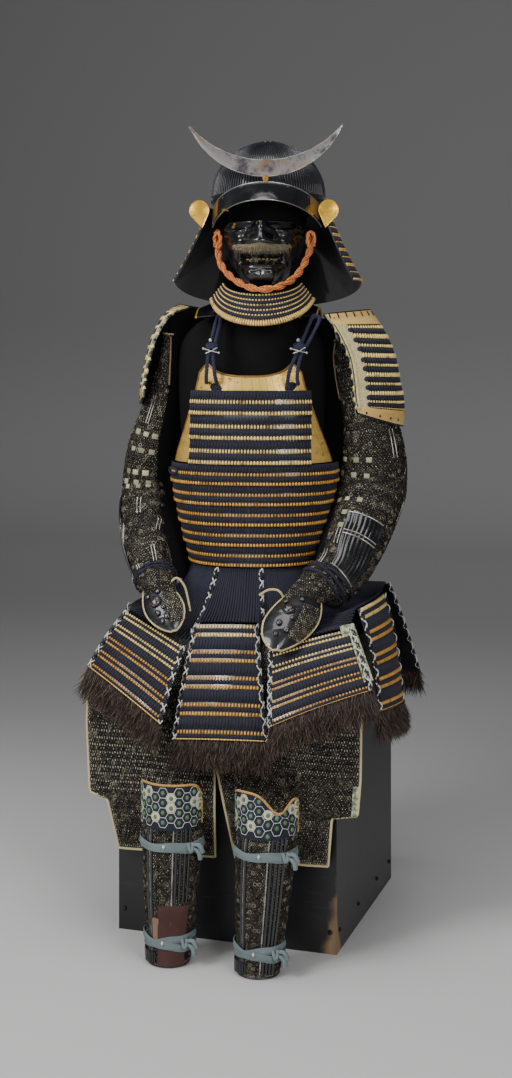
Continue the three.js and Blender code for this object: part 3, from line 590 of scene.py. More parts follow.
class Cells:
    """Places for a repeated unit, each with its axes, its size in mm and its tone."""

    def __init__(self):
        self.places, self.turns, self.sizes, self.tones = [], [], [], []

    def add(self, place, axes, size, tone=0.5):
        self.places.append(tuple(place))
        self.turns.append(tuple(Matrix(axes).transposed().to_euler()))
        self.sizes.append([side * MM for side in size])
        self.tones.append(tone)

    def sew(self, surface, u, v, out, size, tone=0.5):
        """Adds a place `out` mm above a surface, turned as the surface is there."""
        axes = surface.axes(u, v)
        self.add(surface.at(u, v) + axes[2] * out * MM, axes, size, tone)

    def fill(self, name, unit, finish, slot):
        """Sets the unit on every place and dresses the result."""
        mesh = bpy.data.meshes.new(name)
        mesh.from_pydata(self.places, [], [])
        for label, values in (("turn", self.turns), ("size", self.sizes)):
            layer = mesh.attributes.new(label, "FLOAT_VECTOR", "POINT")
            layer.data.foreach_set("vector", np.array(values, np.float32).ravel())
        mesh.attributes.new("tone", "FLOAT", "POINT").data.foreach_set("value", self.tones)
        dress(REPEAT.run(name, mesh, Unit=UNITS[unit], Material=FINISH[finish]), slot)


def cords(name, lines, radius, finish, sides=6):
    """Round cords along lines of places in metres; the radius is in mm, or a list for each line."""
    points, edges, sizes, tones = [], [], [], []
    tone_of = random.Random(len(lines))
    for line in lines:
        first, tone = len(points), tone_of.random()
        points.extend(tuple(p) for p in line)
        edges.extend((first + i, first + i + 1) for i in range(len(line) - 1))
        sizes.extend(r * MM for r in (radius if isinstance(radius, list) else [radius] * len(line)))
        tones.extend([tone] * len(line))
    mesh = bpy.data.meshes.new(name)
    mesh.from_pydata(points, edges, [])
    mesh.attributes.new("radius", "FLOAT", "POINT").data.foreach_set("value", sizes)
    mesh.attributes.new("tone", "FLOAT", "POINT").data.foreach_set("value", tones)
    return CORD.run(name, mesh, Sides=sides, Material=FINISH[finish])


def edging(name, lines, radius, finish, slot, sides=8):
    """Cords that are one dressed piece of their own."""
    dress(cords(name, lines, radius, finish, sides), slot)


def through(points, steps=6):
    """A smooth line through points."""
    points = [Vector(p) for p in points]
    line = []
    for k in range(len(points) - 1):
        a, b, c, d = (points[min(max(k + i, 0), len(points) - 1)] for i in (-1, 0, 1, 2))
        for t in (i / steps for i in range(steps)):
            line.append(0.5 * (2 * b + (c - a) * t + (2 * a - 5 * b + 4 * c - d) * t * t
                               + (3 * b - a - 3 * c + d) * t ** 3))
    return line + [points[-1]]


def placed(points, held=ROOT):
    """Places in metres from places in millimetres."""
    return [held @ (Vector(p) * MM) for p in points]


def strands(line, count, spread, pitch):
    """Lines that wind round a line like the strands of a twisted cord, in metres."""
    wound = [[] for _ in range(count)]
    side = Vector((0.3, 0.2, 1.0))
    length = 0.0
    for k, place in enumerate(line):
        along = (line[min(k + 1, len(line) - 1)] - line[max(k - 1, 0)]).normalized()
        side = (side - along * side.dot(along)).normalized()
        other = along.cross(side)
        length += (place - line[k - 1]).length if k else 0.0
        for n, strand in enumerate(wound):
            turn = tau * (length / pitch + n / count)
            strand.append(place + (side * cos(turn) + other * sin(turn)) * spread)
    return wound


def twisted(lines, count, spread, pitch):
    """The strands of several twisted lines, one line after another."""
    return [strand for line in lines for strand in strands(line, count, spread, pitch)]


# ---- unit pieces ----
def unit(name, rings):
    """A small closed piece from rings of points, the last ring being the top."""
    sides = len(rings[0])
    faces = [list(reversed(range(sides))), [(len(rings) - 1) * sides + i for i in range(sides)]]
    for j in range(len(rings) - 1):
        for i in range(sides):
            a, b = j * sides + i, j * sides + (i + 1) % sides
            faces.append([a, b, b + sides, a + sides])
    return new_object(name, make_mesh(name, [p for ring in rings for p in ring], faces))


def ringed(outline, *levels):
    """Copies of an outline of (x, y) pairs, each level being (size, height)."""
    return [[(x * size, y * size, z) for x, y in outline] for size, z in levels]


def circle(sides, radius=0.5):
    turns = [tau * i / sides for i in range(sides)]
    return [(radius * cos(turn), radius * sin(turn)) for turn in turns]


def ring_unit(name, sides=5, radius=0.42, wire=0.12):
    """A link of mail: a ring of wire lying flat."""
    points, faces = [], []
    for i in range(sides):
        turn = tau * i / sides
        for x, z in ((radius + wire, 0), (radius, 2 * wire), (radius - wire, 0)):
            points.append((x * cos(turn), x * sin(turn), z))
    for i in range(sides):
        a, b = 3 * i, 3 * ((i + 1) % sides)
        faces += [[a + k, b + k, b + (k + 1) % 3, a + (k + 1) % 3] for k in range(3)]
    return new_object(name, make_mesh(name, points, faces))


def blade_unit(name):
    """A hair that bends to its tip: two triangles of points and one point above them."""
    levels = ((0.046, 0, 0), (0.04, 0.06, 0.5))      # (size, bend, height)
    points = [(size * x, size * y + bend, z) for size, bend, z in levels for x, y in circle(3)]
    faces = [[2, 1, 0], [0, 1, 4, 3], [1, 2, 5, 4], [2, 0, 3, 5], [3, 4, 6], [4, 5, 6], [5, 3, 6]]
    return new_object(name, make_mesh(name, points + [(0, 0.2, 1)], faces))


SCALE_HEAD = [(-0.5, -0.5), (0.5, -0.5), (0.5, 0.15), (0, 0.5), (-0.5, 0.15)]
BAR = [(-0.5, -0.5), (0.5, -0.5), (0.5, 0.5), (-0.5, 0.5)]
UNITS = {
    "head": unit("unit_head", ringed(SCALE_HEAD, (1, 0), (0.74, 1))),
    "lace": unit("unit_lace", [
        [(x, y * (1 - 0.1 * abs(x)), z) for x, z in ((-0.5, 0), (-0.28, 0.8), (0.28, 0.8), (0.5, 0))]
        for y in (0.5, -0.5)
    ]),
    "link": ring_unit("unit_link"),
    "stud": unit("unit_stud", ringed(circle(8), (1, 0), (0.8, 0.7), (0.35, 1))),
    "tile": unit("unit_tile", ringed(BAR, (1, 0), (0.96, 0.7), (0.7, 1))),
    "hexagon": unit("unit_hexagon", ringed(circle(6), (1, 0), (0.97, 0.7), (0.78, 1))),
    "blade": blade_unit("unit_blade"),
}


# ---- finishes ----
NAVY = srgb(12, 12, 24)
NAVY_HIGHLIGHT_AND_FADE = srgb(33, 35, 60)
BLACK = srgb(14, 14, 17)
OCHRE = srgb(204, 140, 44)
CREAM = srgb(255, 229, 150)
BROWN = srgb(60, 40, 22)


def gloss_lacquer(name, roughness=0.14, colour=BLACK):
    """Black lacquer with a faint orange-peel and patches of dust."""
    finish = Finish(name, roughness=roughness, coat_weight=0.7, coat_roughness=0.08)
    smudge = finish.noise(26, 4).step(0.45, 0.75)
    return finish.surface(
        base_color=finish.mix(smudge * 0.5, colour, srgb(34, 34, 40)),
        roughness=roughness + smudge * 0.2,
        normal=finish.bump(finish.noise(60, 2), 0.0006, 0.25),
    ).material


def gold_heads():
    """Gold lacquer on scale heads: ochre at tone 0 and cream at tone 1, rubbed and soiled."""
    finish = Finish("gold_heads", metallic=0.25)
    tone = finish.tone()
    base = finish.mix(tone, OCHRE, CREAM)
    soiled = finish.noise(70, 4).step(0.5, 0.72)
    return finish.surface(
        base_color=finish.mix(soiled * 0.75, base, srgb(96, 70, 36)),
        roughness=0.38 + soiled * 0.3,
        normal=finish.bump(finish.noise(900, 2), 0.0006, 0.4),
    ).material


def gold_plate(name, colour, deep, metallic=0.35, roughness=0.34):
    """Gold leaf over lacquer, streaked across and browned where the leaf is rubbed away."""
    finish = Finish(name, metallic=metallic)
    place = finish.place()
    streaks = finish.noise(30, 5, finish.stretched(place, 0.35, 0.35, 2.2)).step(0.42, 0.7)
    rubbed = finish.noise(110, 5).step(0.6, 0.74)
    base = finish.mix(streaks * 0.6, colour, deep)
    return finish.surface(
        base_color=finish.mix(rubbed * 0.7, base, BROWN),
        roughness=roughness + streaks * 0.2 + rubbed * 0.2,
        normal=finish.bump(finish.noise(300, 4), 0.0008, 0.5),
    ).material


def braid(name, colour, light, scale=1.0):
    """Silk braid: short slanting plaits with a painted highlight, tone that differs from piece to
    piece, and a little fading.
    """
    finish = Finish(name, roughness=0.8, sheen_weight=0.05)
    plaits = finish.noise(700 * scale, 2)
    faded = finish.noise(16, 3).step(0.4, 0.7)
    # The plaits are painted towards the light colour as a highlight; the tone and the fading are the
    # braid's own.
    shade = plaits.step(0.35, 0.7) * 0.6 + finish.tone() * 0.2 + faded * 0.25
    return finish.surface(
        base_color=finish.mix(shade, colour, light),
        normal=finish.bump(plaits, 0.0008, 0.7),
    ).material


def mail_ground(name, cloth, rust, across=5.0, down=7.4):
    """Fine mail on cloth: staggered rows of links, some of them made bright by painted glints."""
    finish = Finish(name, roughness=0.7, specular_ior_level=0.35)
    u, v, _ = finish.axes(finish.cloth_place())
    wander = finish.noise(160, 2)
    rows = (v * (tau / (down * MM)) + wander * 1.8).wave()
    links = ((u * (tau / (across * MM)) + wander * 2.4).wave() * rows).step(0.05, 0.55)
    painted_glints = finish.noise(330, 2).step(0.38, 0.66)
    rusted = finish.noise(20, 5).step(0.42, 0.7)
    base = finish.mix(rusted, cloth, rust)
    return finish.surface(
        # Painted glints: the pale link colour shows only where the glint noise is high.
        base_color=finish.mix(links * (painted_glints * 0.85 + 0.1), base, srgb(208, 200, 176)),
        normal=finish.bump(links, 0.001, 0.8),
    ).material


def mail_links():
    """Iron links: black ones, rusty ones and a few rubbed bright."""
    finish = Finish("mail_links", metallic=0.4)
    tone = finish.tone()
    return finish.surface(
        base_color=finish.ramp(tone, (0.0, srgb(26, 25, 26)), (0.5, srgb(50, 46, 40)),
                               (0.85, srgb(86, 78, 66)), (1.0, srgb(150, 142, 124))),
        roughness=0.6 - tone * 0.1,
        normal=finish.bump(finish.noise(900, 2), 0.0004, 0.5),
    ).material


def metal(name, colour, stain, roughness=0.35, metallic=0.85, scale=40):
    """Worked metal with stains and fine scratches."""
    finish = Finish(name, metallic=metallic)
    stained = finish.noise(scale, 5).step(0.45, 0.68)
    scratch = finish.noise(220, 3, finish.stretched(finish.place(), 1, 1, 0.15)).step(0.6, 0.7)
    return finish.surface(
        base_color=finish.mix(stained * 0.8, colour, stain),
        roughness=roughness + stained * 0.3 + scratch * 0.1,
        normal=finish.bump(finish.noise(260, 4), 0.0005, 0.5),
    ).material


def stained_silver():
    """Old silver: brown and slate clouds, and small dark pits."""
    finish = Finish("aged_silver", metallic=0.75)
    clouds = finish.noise(24, 6, roughness=0.65)
    warm = finish.noise(15, 4).step(0.5, 0.62)
    pits = finish.noise(240, 4).step(0.6, 0.68) * clouds.step(0.4, 0.6)
    aged = finish.mix(warm, srgb(150, 146, 144), srgb(152, 126, 100))
    shade = finish.mix(clouds.step(0.46, 0.62), aged, srgb(78, 72, 78))
    return finish.surface(
        base_color=finish.mix(pits * 0.8, shade, srgb(36, 30, 28)),
        roughness=0.36 + clouds.step(0.45, 0.65) * 0.2,
        normal=finish.bump(finish.noise(180, 4), 0.0006, 0.5),
    ).material


def lacquered_wood():
    """Black lacquered boards, rubbed to the wood at a front corner and scratched on the sides."""
    finish = Finish("lacquered_wood", coat_roughness=0.3)
    place = finish.place()
    x, y, z = finish.axes(place)
    ragged = finish.noise(22, 5)
    near = abs(x - 0.216) + abs(y + 0.221) + (z * 0.22)
    worn = (near + ragged * 0.05).below(0.044, 0.062)
    grain = finish.noise(60, 4, finish.stretched(place, 1, 1, 0.12))
    chips = finish.noise(48, 6, roughness=0.7).step(0.68, 0.72)
    lines = finish.noise(14, 2, finish.stretched(place, 1, 0.6, 16)).step(0.66, 0.7)
    black = finish.mix(finish.noise(7, 4).step(0.4, 0.7), srgb(13, 13, 16), srgb(24, 24, 27))
    scuffed = finish.mix((chips + lines * 0.15).least(1.0) * 0.6, black, srgb(112, 106, 98))
    wood = finish.mix(grain, srgb(104, 80, 56), srgb(172, 146, 112))
    return finish.surface(
        base_color=finish.mix(worn, scuffed, wood),
        roughness=0.42 + worn * 0.4 + chips * 0.25,
        coat_weight=0.18 - worn * 0.18,
        normal=finish.bump(grain * 0.4 - chips - worn * 0.6, 0.0006, 0.5),
    ).material


def plain_cloth(name, colour, light, scale=1.0, roughness=0.9):
    """A woven cloth: warp and weft in the sheet's own place, with soft fading."""
    finish = Finish(name, roughness=roughness, specular_ior_level=0.25)
    u, v, _ = finish.axes(finish.cloth_place())
    pitch = 0.0022 / scale
    weave = (u * (tau / pitch)).wave() * (v * (tau / pitch)).wave()
    faded = finish.noise(18, 4)
    shade = weave * 0.15 + faded
    return finish.surface(
        base_color=finish.mix(shade, colour, light),
        normal=finish.bump(weave, 0.0005, 0.5),
    ).material


def toned_cloth(name, low, high):
    """Small cloth pieces that differ in tone, frayed in places."""
    finish = Finish(name, roughness=0.85)
    frayed = finish.noise(420, 4)
    return finish.surface(
        base_color=finish.mix(finish.tone() * 0.6 + frayed * 0.5, low, high),
        normal=finish.bump(frayed, 0.0008, 0.7),
    ).material


def mottled_cloth(name, *colours):
    """A worn figured cloth in blots of several colours."""
    finish = Finish(name, roughness=0.9)
    blots = finish.noise(120, 5).step(0.3, 0.7)
    places = [k / (len(colours) - 1) for k in range(len(colours))]
    return finish.surface(
        base_color=finish.ramp(blots, *zip(places, colours)),
        normal=finish.bump(finish.noise(700, 3), 0.0008, 0.7),
    ).material


def soft_fibre(name, *colours):
    """Hair whose blades differ in tone."""
    finish = Finish(name, roughness=0.6)
    places = [k / (len(colours) - 1) for k in range(len(colours))]
    return finish.surface(
        base_color=finish.ramp(finish.tone(), *zip(places, colours)),
    ).material


FINISH = {
    "lacquer": gloss_lacquer("gloss_lacquer"),
    "mask": gloss_lacquer("mask_lacquer", 0.24, srgb(12, 12, 14)),
    "dull_lacquer": gloss_lacquer("dull_lacquer", 0.34, srgb(20, 20, 25)),
    "heads": gold_heads(),
    "leaf": gold_plate("gold_leaf", srgb(226, 180, 66), srgb(176, 120, 34), 0.6, 0.26),
    "pale_gold": gold_plate("pale_gold", srgb(246, 206, 112), srgb(196, 146, 64), 0.5, 0.3),
    "old_gold": gold_plate("old_gold", srgb(150, 112, 52), srgb(78, 54, 28)),
    "white": braid("white_silk", srgb(176, 176, 166), srgb(236, 232, 220), 0.6),
    "end_gold": gold_plate("end_gold", srgb(240, 204, 126), srgb(196, 150, 80)),
    "navy": braid("navy_braid", NAVY, NAVY_HIGHLIGHT_AND_FADE),
    "orange": braid("orange_silk", srgb(178, 88, 34), srgb(250, 168, 94), 0.5),
    # The same orange silk painted darker, as shade between the chin cord's plies.
    "shaded_orange": braid("orange_silk_painted_shade", srgb(104, 44, 24), srgb(160, 74, 44), 0.6),
    "piping": braid("cream_piping", srgb(168, 150, 96), srgb(230, 220, 176), 0.5),
    "mail": mail_ground("mail_cloth", srgb(16, 15, 16), srgb(38, 31, 25)),
    "dark_mail": mail_ground("shin_cloth", srgb(9, 9, 11), srgb(20, 18, 17), 4.0, 5.4),
    "cord_navy": braid("navy_cord", srgb(15, 17, 38), srgb(42, 45, 84), 0.8),
    "links": mail_links(),
    "silver": stained_silver(),
    "iron": metal("dark_iron", srgb(40, 39, 44), srgb(66, 52, 44), 0.4, 0.7),
    # Pale metal for the lines on the bowl's ridge crests: a painted highlight.
    "ridge_highlight": metal("ridge_painted_highlight", srgb(92, 92, 98), srgb(44, 44, 50), 0.3, 0.8, 60),
    "boss": metal("hand_boss", srgb(70, 68, 72), srgb(150, 146, 142), 0.25, 0.85, 300),
    "square": toned_cloth("sleeve_square", srgb(66, 70, 52), srgb(204, 200, 164)),
    "hexagon": toned_cloth("navy_hexagon", srgb(14, 17, 32), srgb(36, 44, 68)),
    "dot": toned_cloth("green_dot", srgb(58, 84, 56), srgb(108, 134, 92)),
    "worn": toned_cloth("worn_ground", srgb(160, 158, 140), srgb(214, 208, 182)),
    "bright": metal("bright_iron", srgb(196, 192, 186), srgb(96, 90, 84), 0.3, 0.9),
    "wood": lacquered_wood(),
    "black_cloth": plain_cloth("stand_cloth", srgb(3, 3, 4), srgb(9, 9, 11)),
    "tie_cloth": plain_cloth("tie_cloth", srgb(80, 94, 97), srgb(136, 148, 149)),
    "leather": plain_cloth("cream_leather", srgb(184, 168, 122), srgb(222, 208, 168), 0.6),
    "patch": plain_cloth("maroon_leather", srgb(58, 38, 36), srgb(92, 64, 60), 0.7),
    "tan": plain_cloth("tan_leather", srgb(112, 90, 70), srgb(156, 130, 104), 0.7),
    "green_piping": braid("green_piping", srgb(72, 98, 66), srgb(196, 196, 150), 0.25),
    "ochre": braid("ochre_piping", srgb(160, 116, 56), srgb(210, 168, 98), 0.5),
    "brocade": mottled_cloth("green_brocade", srgb(70, 88, 74), srgb(128, 142, 112),
                             srgb(190, 186, 150), srgb(214, 206, 172)),
    "fur": soft_fibre("brown_fur", srgb(26, 20, 18), srgb(52, 40, 34), srgb(82, 63, 53),
                      srgb(116, 98, 86)),
    "bristle": soft_fibre("bristle", srgb(110, 100, 78), srgb(160, 150, 120), srgb(190, 182, 158)),
}


# ---- storage box and stand ----
def build_box():
    for node in ("box_body", "box_lid"):
        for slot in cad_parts[node].material_slots:
            slot.material = FINISH["wood"]
    low, high = (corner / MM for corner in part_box("box_lid"))
    beads = []
    for z in (low.z + 2.5, high.z - 1.5):
        corners = [(low.x, low.y, z), (high.x, low.y, z), (high.x, high.y, z), (low.x, high.y, z)]
        corners.append(corners[0])
        for a, b in zip(corners, corners[1:]):
            beads.append(placed([a, b]))
    edging("box_beads", beads, 1.6, "lacquer", "lacquered_wood")
    groove = placed([(high.x + 0.3, 120, high.z - 6), (high.x + 0.3, 119, high.z - 150)])
    edging("box_crack", [groove], 1.1, "dull_lacquer", "lacquered_wood", 6)
    studs = Cells()
    on_the_side = (Vector((0, 1, 0)), UP, RIGHT)
    for x in (low.x + 14, high.x - 14):
        for z in (40, 440, 470):
            studs.add(Vector((x, low.y + 2, z)) * MM, FACING, (9, 9, 3.5))
    for y in (-200, -60, 90, 200):
        for z in (40, 440, 470):
            studs.add(Vector((high.x - 2, y, z)) * MM, on_the_side, (9, 9, 3.5))
    studs.fill("box_studs", "stud", "iron", "lacquered_wood")


# The limbless form under the armour and its head post.
FORM = table(
    "z half_width half_depth x",
    (1212, 46, 50, 6), (1188, 56, 54, 3), (1172, 88, 62, -2), (1150, 122, 72, -4),
    (1115, 144, 86, -5), (1000, 146, 98, -5), (884, 138, 102, -2), (780, 124, 98, 0),
    (690, 106, 92, 0), (556.3, 102, 90, 0),
)
HEAD_FORM = table(
    "z half_width half_depth x",
    (1513, 22, 26, 0), (1500, 46, 54, 0), (1466, 74, 88, 0), (1410, 82, 98, 0),
    (1340, 72, 88, 0), (1275, 56, 72, 0), (1240, 42, 52, 0), (1212.6, 40, 46, 0),
)


def build_stand():
    for name, rows, held, squareness in (
        ("stand_torso", FORM, TORSO, 2.3), ("stand_head", HEAD_FORM, HEAD, 2.0),
    ):
        def point(u, v):
            row = row_at(rows, "z", lerp(rows[0]["z"], rows[-1]["z"], v))
            return oval(360 * u, row["x"], 0, row["z"], row["half_width"], row["half_depth"],
                        squareness)
        skin = Surface(point, held, closed=True)
        rings = [[skin.at(u, v) for u in shares(40)[:-1]] for v in shares(36)]
        dress(loft(name + "_cloth", rings, "black_cloth"), "stand_cloth", name)
    for side in SIDES:
        low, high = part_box(f"stand_leg_{side}")
        middle = (low + high) / 2
        middle.z = low.z
        height = (high.z - low.z) / MM
        profile = [(18, height), (20, height - 2), (21, height - 6), (21, 30), (22, 10), (22, 0)]
        post = lathe(f"leg_post_{side}", profile, middle, "black_cloth")
        dress(post, "post_wood", f"stand_leg_{side}")


# ---- helmet ----
# The bowl is an oval dome; the rises of its points are in degrees above the base.
BOWL = {"half_width": 112, "half_depth": 128, "base": 1410, "rim": 1392, "height": 109}
RIDGES = 120


def bowl_point(turn, rise, out=0.0):
    size = cos(radians(rise))
    z = BOWL["base"] + (BOWL["height"] + out) * sin(radians(rise))
    if rise < 0:
        size, z = 1, lerp(BOWL["base"], BOWL["rim"], -rise)
    return oval(turn, 0, 0, z, (BOWL["half_width"] + out) * size, (BOWL["half_depth"] + out) * size)


def build_bowl():
    rises = [83.3, 76, 68, 59, 50, 41, 33, 24, 16, 8, 0, -1]
    top, foot = rises[0], rises[-1]
    shell = Surface(lambda u, v: bowl_point(360 * u, lerp(top, foot, v)), HEAD, closed=True)
    down = [(top - rise) / (top - foot) for rise in rises]
    dress(wall("bowl_plates", shell, 96, down, 2.5, "dull_lacquer"), "ridged_iron", "helmet_bowl")
    ribs = []
    for k in range(RIDGES):
        turn = 360 * k / RIDGES
        if 172 < turn < 188:       # the middle plate at the back is plain
            continue
        ribs.append(placed([bowl_point(turn, rise, 0.8) for rise in rises[:-1]], HEAD))
    sizes = [0.4] + [lerp(0.5, 1.6, cos(radians(r))) for r in rises[1:-1]]
    edging("bowl_ridges", ribs, sizes, "dull_lacquer", "ridged_iron", 6)
    # Thin pale metal lines along the ridge crests: painted highlights.
    middle = HEAD @ Vector((0, 0, BOWL["base"] * MM))
    highlight_crests = [[place + (place - middle).normalized() * (size + 0.15) * MM
               for place, size in zip(line, sizes)] for line in ribs]
    edging("bowl_edges", highlight_crests, 0.42, "ridge_highlight", "ridged_iron", 4)
    crown = HEAD @ (Vector((0, 0, BOWL["base"] + BOWL["height"])) * MM)
    petals = [(13, 0.6), (20, 0.2), (24, -1.2), (27, -3.5), (24, -4), (13, -3)]
    ring = [(11, 1.4), (14, 2.4), (17, 1.4), (17, 0), (11, -1)]
    collar = [lathe("crown_petals", petals, crown, "dull_lacquer"),
              lathe("crown_ring", ring, crown, "lacquer")]
    dress(joined("crown_collar", collar), "ridged_iron")
    studs = Cells()
    for k in range(RIDGES // 4):
        turn = 360 * (k + 0.5) / (RIDGES // 4)
        place = HEAD @ (bowl_point(turn, -0.55, 1.2) * MM)
        out = (HEAD.to_3x3() @ (bowl_point(turn, 0) - bowl_point(turn, 0, -9))).normalized()
        studs.add(place, (UP.cross(out), UP, out), (5.5, 5.5, 2.4))
    studs.fill("bowl_rivets", "stud", "iron", "ridged_iron")


PEAK = {"spread": 68, "top": 1428, "low": 1391, "side_drop": 44, "clear": 3, "reach": 50,
        "side_reach": 6}


def peak_point(u, v):
    side = 2 * u - 1
    out = PEAK["clear"] + v * lerp(PEAK["reach"], PEAK["side_reach"], side * side)
    z = lerp(PEAK["top"], PEAK["low"], v ** 1.3) - PEAK["side_drop"] * side * side
    return oval(PEAK["spread"] * side, 0, 0, z, BOWL["half_width"] + PEAK["clear"] + 2 * v,
                BOWL["half_depth"] + out)


def build_peak():
    shell = Surface(peak_point, HEAD)
    dress(wall("peak_plate", shell, 48, 14, 2.5, "lacquer"), "gloss_lacquer", "helmet_peak")
    rims = [
        shell.line((0, 1), (1, 1), -1.2, 48), shell.line((0, 0), (0, 1), -1.2, 12),
        shell.line((1, 0), (1, 1), -1.2, 12), shell.line((0, 0.02), (1, 0.02), 0.2, 48),
    ]
    edging("peak_rim", rims, 1.05, "bright", "gloss_lacquer")
    for side, low, high in (("left", 0.02, 0.1), ("right", 0.86, 0.96)):
        patch = part_of(shell, low, high, 0.1, 0.9)
        dress(wall(f"peak_gilt_{side}", patch, 8, 8, 0.6, "old_gold", out=0.5), "gold_leaf")
    studs = Cells()
    for u, v in ((0.16, 0.3), (0.33, 0.22), (0.67, 0.22), (0.84, 0.3)):
        studs.sew(shell, u, v, -0.3, (7, 7, 2.4))
    studs.fill("peak_studs", "stud", "lacquer", "gloss_lacquer")


CREST = {"x": 4, "tip_x": 148, "tip_z": 1536, "low_z": 1436, "top_z": 1467, "y": -156, "thick": 2}


def crest_point(u, v):
    """v runs from the upper arc to the lower one."""
    def arc(mid_z):
        sag = CREST["tip_z"] - mid_z
        radius = (CREST["tip_x"] ** 2 + sag * sag) / (2 * sag)
        turn = asin(CREST["tip_x"] / radius) * (2 * u - 1)
        return Vector((CREST["x"] + radius * sin(turn), CREST["y"] - CREST["thick"],
                       mid_z + radius * (1 - cos(turn))))
    return arc(CREST["top_z"]).lerp(arc(CREST["low_z"]), v)


def build_crest():
    horns = [u for u in shares(56) if 0 < u < 1]
    shell = Surface(crest_point, HEAD)
    plate = wall("crest_plate", shell, [0.004] + horns + [0.996], 6, 1.8, "silver",
                 out=-0.1, swell=lambda u, v: -0.8 * (2 * v - 1) ** 2)
    dress(plate, "aged_silver", "helmet_crest")
    levels = ((1438, 3, 2.2), (1435, 5.5, 3.4), (1431, 6.5, 4), (1428, 4.5, 3.4), (1424, 6, 3.4))
    rings = [placed([oval(a, CREST["x"], CREST["y"] - 3, z, half, deep, 3)
                     for a in range(0, 360, 20)], HEAD) for z, half, deep in levels]
    dress(loft("crest_holder", rings, "old_gold"), "gold_leaf")
    edges = [shell.line((0.01, v), (0.99, v), -0.9, 60) for v in (0, 1)]
    edging("crest_edge", edges, 0.55, "bright", "aged_silver", 6)


NECK = {
    "lames": 5, "left_end": -92, "right_end": 114, "top_z": 1390, "back_z": 1196, "side_rise": 46,
    "top_half_width": 118, "top_half_depth": 134, "half_width": 189, "back_depth": 196,
    "front_depth": 165, "straight": 0.78,
}


def neck_point(u, v):
    turn = lerp(NECK["right_end"], NECK["left_end"], u)
    s, c = sin(radians(turn)), cos(radians(turn))
    flare = NECK["straight"] * v + (1 - NECK["straight"]) * v * v
    depth = NECK["back_depth"] if c > 0 else NECK["front_depth"]
    low = NECK["back_z"] + NECK["side_rise"] * min(1, (turn / 90) ** 2)
    return Vector((
        -2 * v + s * lerp(NECK["top_half_width"], NECK["half_width"], flare),
        c * lerp(NECK["top_half_depth"], depth, flare),
        lerp(NECK["top_z"], low, v),
    ))


FLAP = {"radius": 20, "point": 36, "z": 1378, "y": -78, "left": -131, "right": 122}


def build_flaps():
    for side, turn in (("left", -10), ("right", 10)):
        held = HEAD @ Matrix.Translation(Vector((FLAP[side], FLAP["y"], FLAP["z"])) * MM)
        held = held @ Matrix.Rotation(radians(turn), 4, "Y")
        outline = [(0, -FLAP["point"])]
        outline += [(FLAP["radius"] * cos(radians(a)), FLAP["radius"] * sin(radians(a)))
                    for a in np.linspace(-28, 208, 22)]

        def ring(size, y):
            return placed([(x * size, y, z * size) for x, z in reversed(outline)], held)
        rings = [ring(0.3, 0), ring(1, 0), ring(1.0, -1.6), ring(0.97, -2.4), ring(0.9, -1.9),
                 ring(0.78, -2.4), ring(0.5, -3.6), ring(0.2, -4.0)]
        plate = loft(f"flap_gold_{side}", list(reversed(rings)), "leaf", crease=30)
        dress(plate, "gold_leaf", f"helmet_flap_{side}")


# ---- mask, throat guard and chin cord ----
MASK = table(
    "z half_width half_depth nose broad mouth chin spread",
    (1352, 79, 122, 15, 7, 0, 0, 58), (1338, 83, 124, 18, 8, 0, 0, 76),
    (1322, 82, 126, 26, 12, 0, 0, 82), (1310, 79, 128, 25, 15, 0, 0, 84),
    (1299, 75, 129, 6, 15, 0, 0, 84), (1292, 73, 129, 0, 12, 4, 0, 83),
    (1286, 71, 128, 0, 10, 24, 0, 82), (1273, 67, 126, 0, 10, 24, 0, 79),
    (1267, 64, 126, 0, 10, 2, 5, 77), (1254, 57, 124, 0, 10, 0, 15, 70),
    (1240, 47, 118, 0, 10, 0, 17, 58), (1232, 38, 106, 0, 10, 0, 12, 46),
)
MASK_X, MASK_Y = -6, -16
# Soft bumps and troughs of the mask: height in mm, place, size, and how far a fold slants.
MASK_FORMS = table(
    "height turn z wide tall slant",
    (9, 14, 1315, 7, 7.5, 0),        # nostril wings
    (-5, 8.5, 1306, 3.5, 3.5, 0),    # nostrils
    (5, 0, 1352, 5, 8, 0),           # pointed brow knot
    (6, 11, 1338, 4, 5, 0.4),        # creases above the nose
    (6, 34, 1334, 17, 5, 0.1),       # rolls under the eyes
    (5, 42, 1324, 12, 7, -0.25),     # cheeks
    (6, 60, 1340, 10, 4, -0.3),      # flared corners and their wrinkles
    (-5, 56, 1333, 12, 2.4, -0.2),
    (5, 62, 1327, 9, 3.4, 0.1),
    (-4, 58, 1320, 10, 2.4, 0.2),
    (-6, 23, 1327, 4.5, 11, 0.5),    # trough beside the nose
    (6, 33, 1313, 5, 12, 0.75),      # fold from the nose
    (5.5, 38, 1281, 3.6, 15, 0.35),  # the two folds round the mouth's corner
    (-3.5, 43, 1283, 2.6, 15, 0.4),
    (4, 48, 1285, 3.4, 16, 0.45),
    (-3, 58, 1292, 4, 16, 0.4),
    (2, 68, 1300, 5, 16, 0.2),
    (4, 16, 1345, 6, 3, -0.3),       # wrinkles under the eyes
    (-2.5, 26, 1340, 12, 2.6, 0),
    (2.6, 16, 1256, 8, 6.5, 0),      # the two rounds of the chin
    (-2, 0, 1252, 4, 9, 0),
    (5.5, 14, 1268, 26, 2.6, 0),     # lower lip
    (-3, 22, 1262, 16, 2.4, 0.1),    # trough under the lip
    (5, 29, 1254, 3.6, 10, -0.3),    # sides of the chin
)


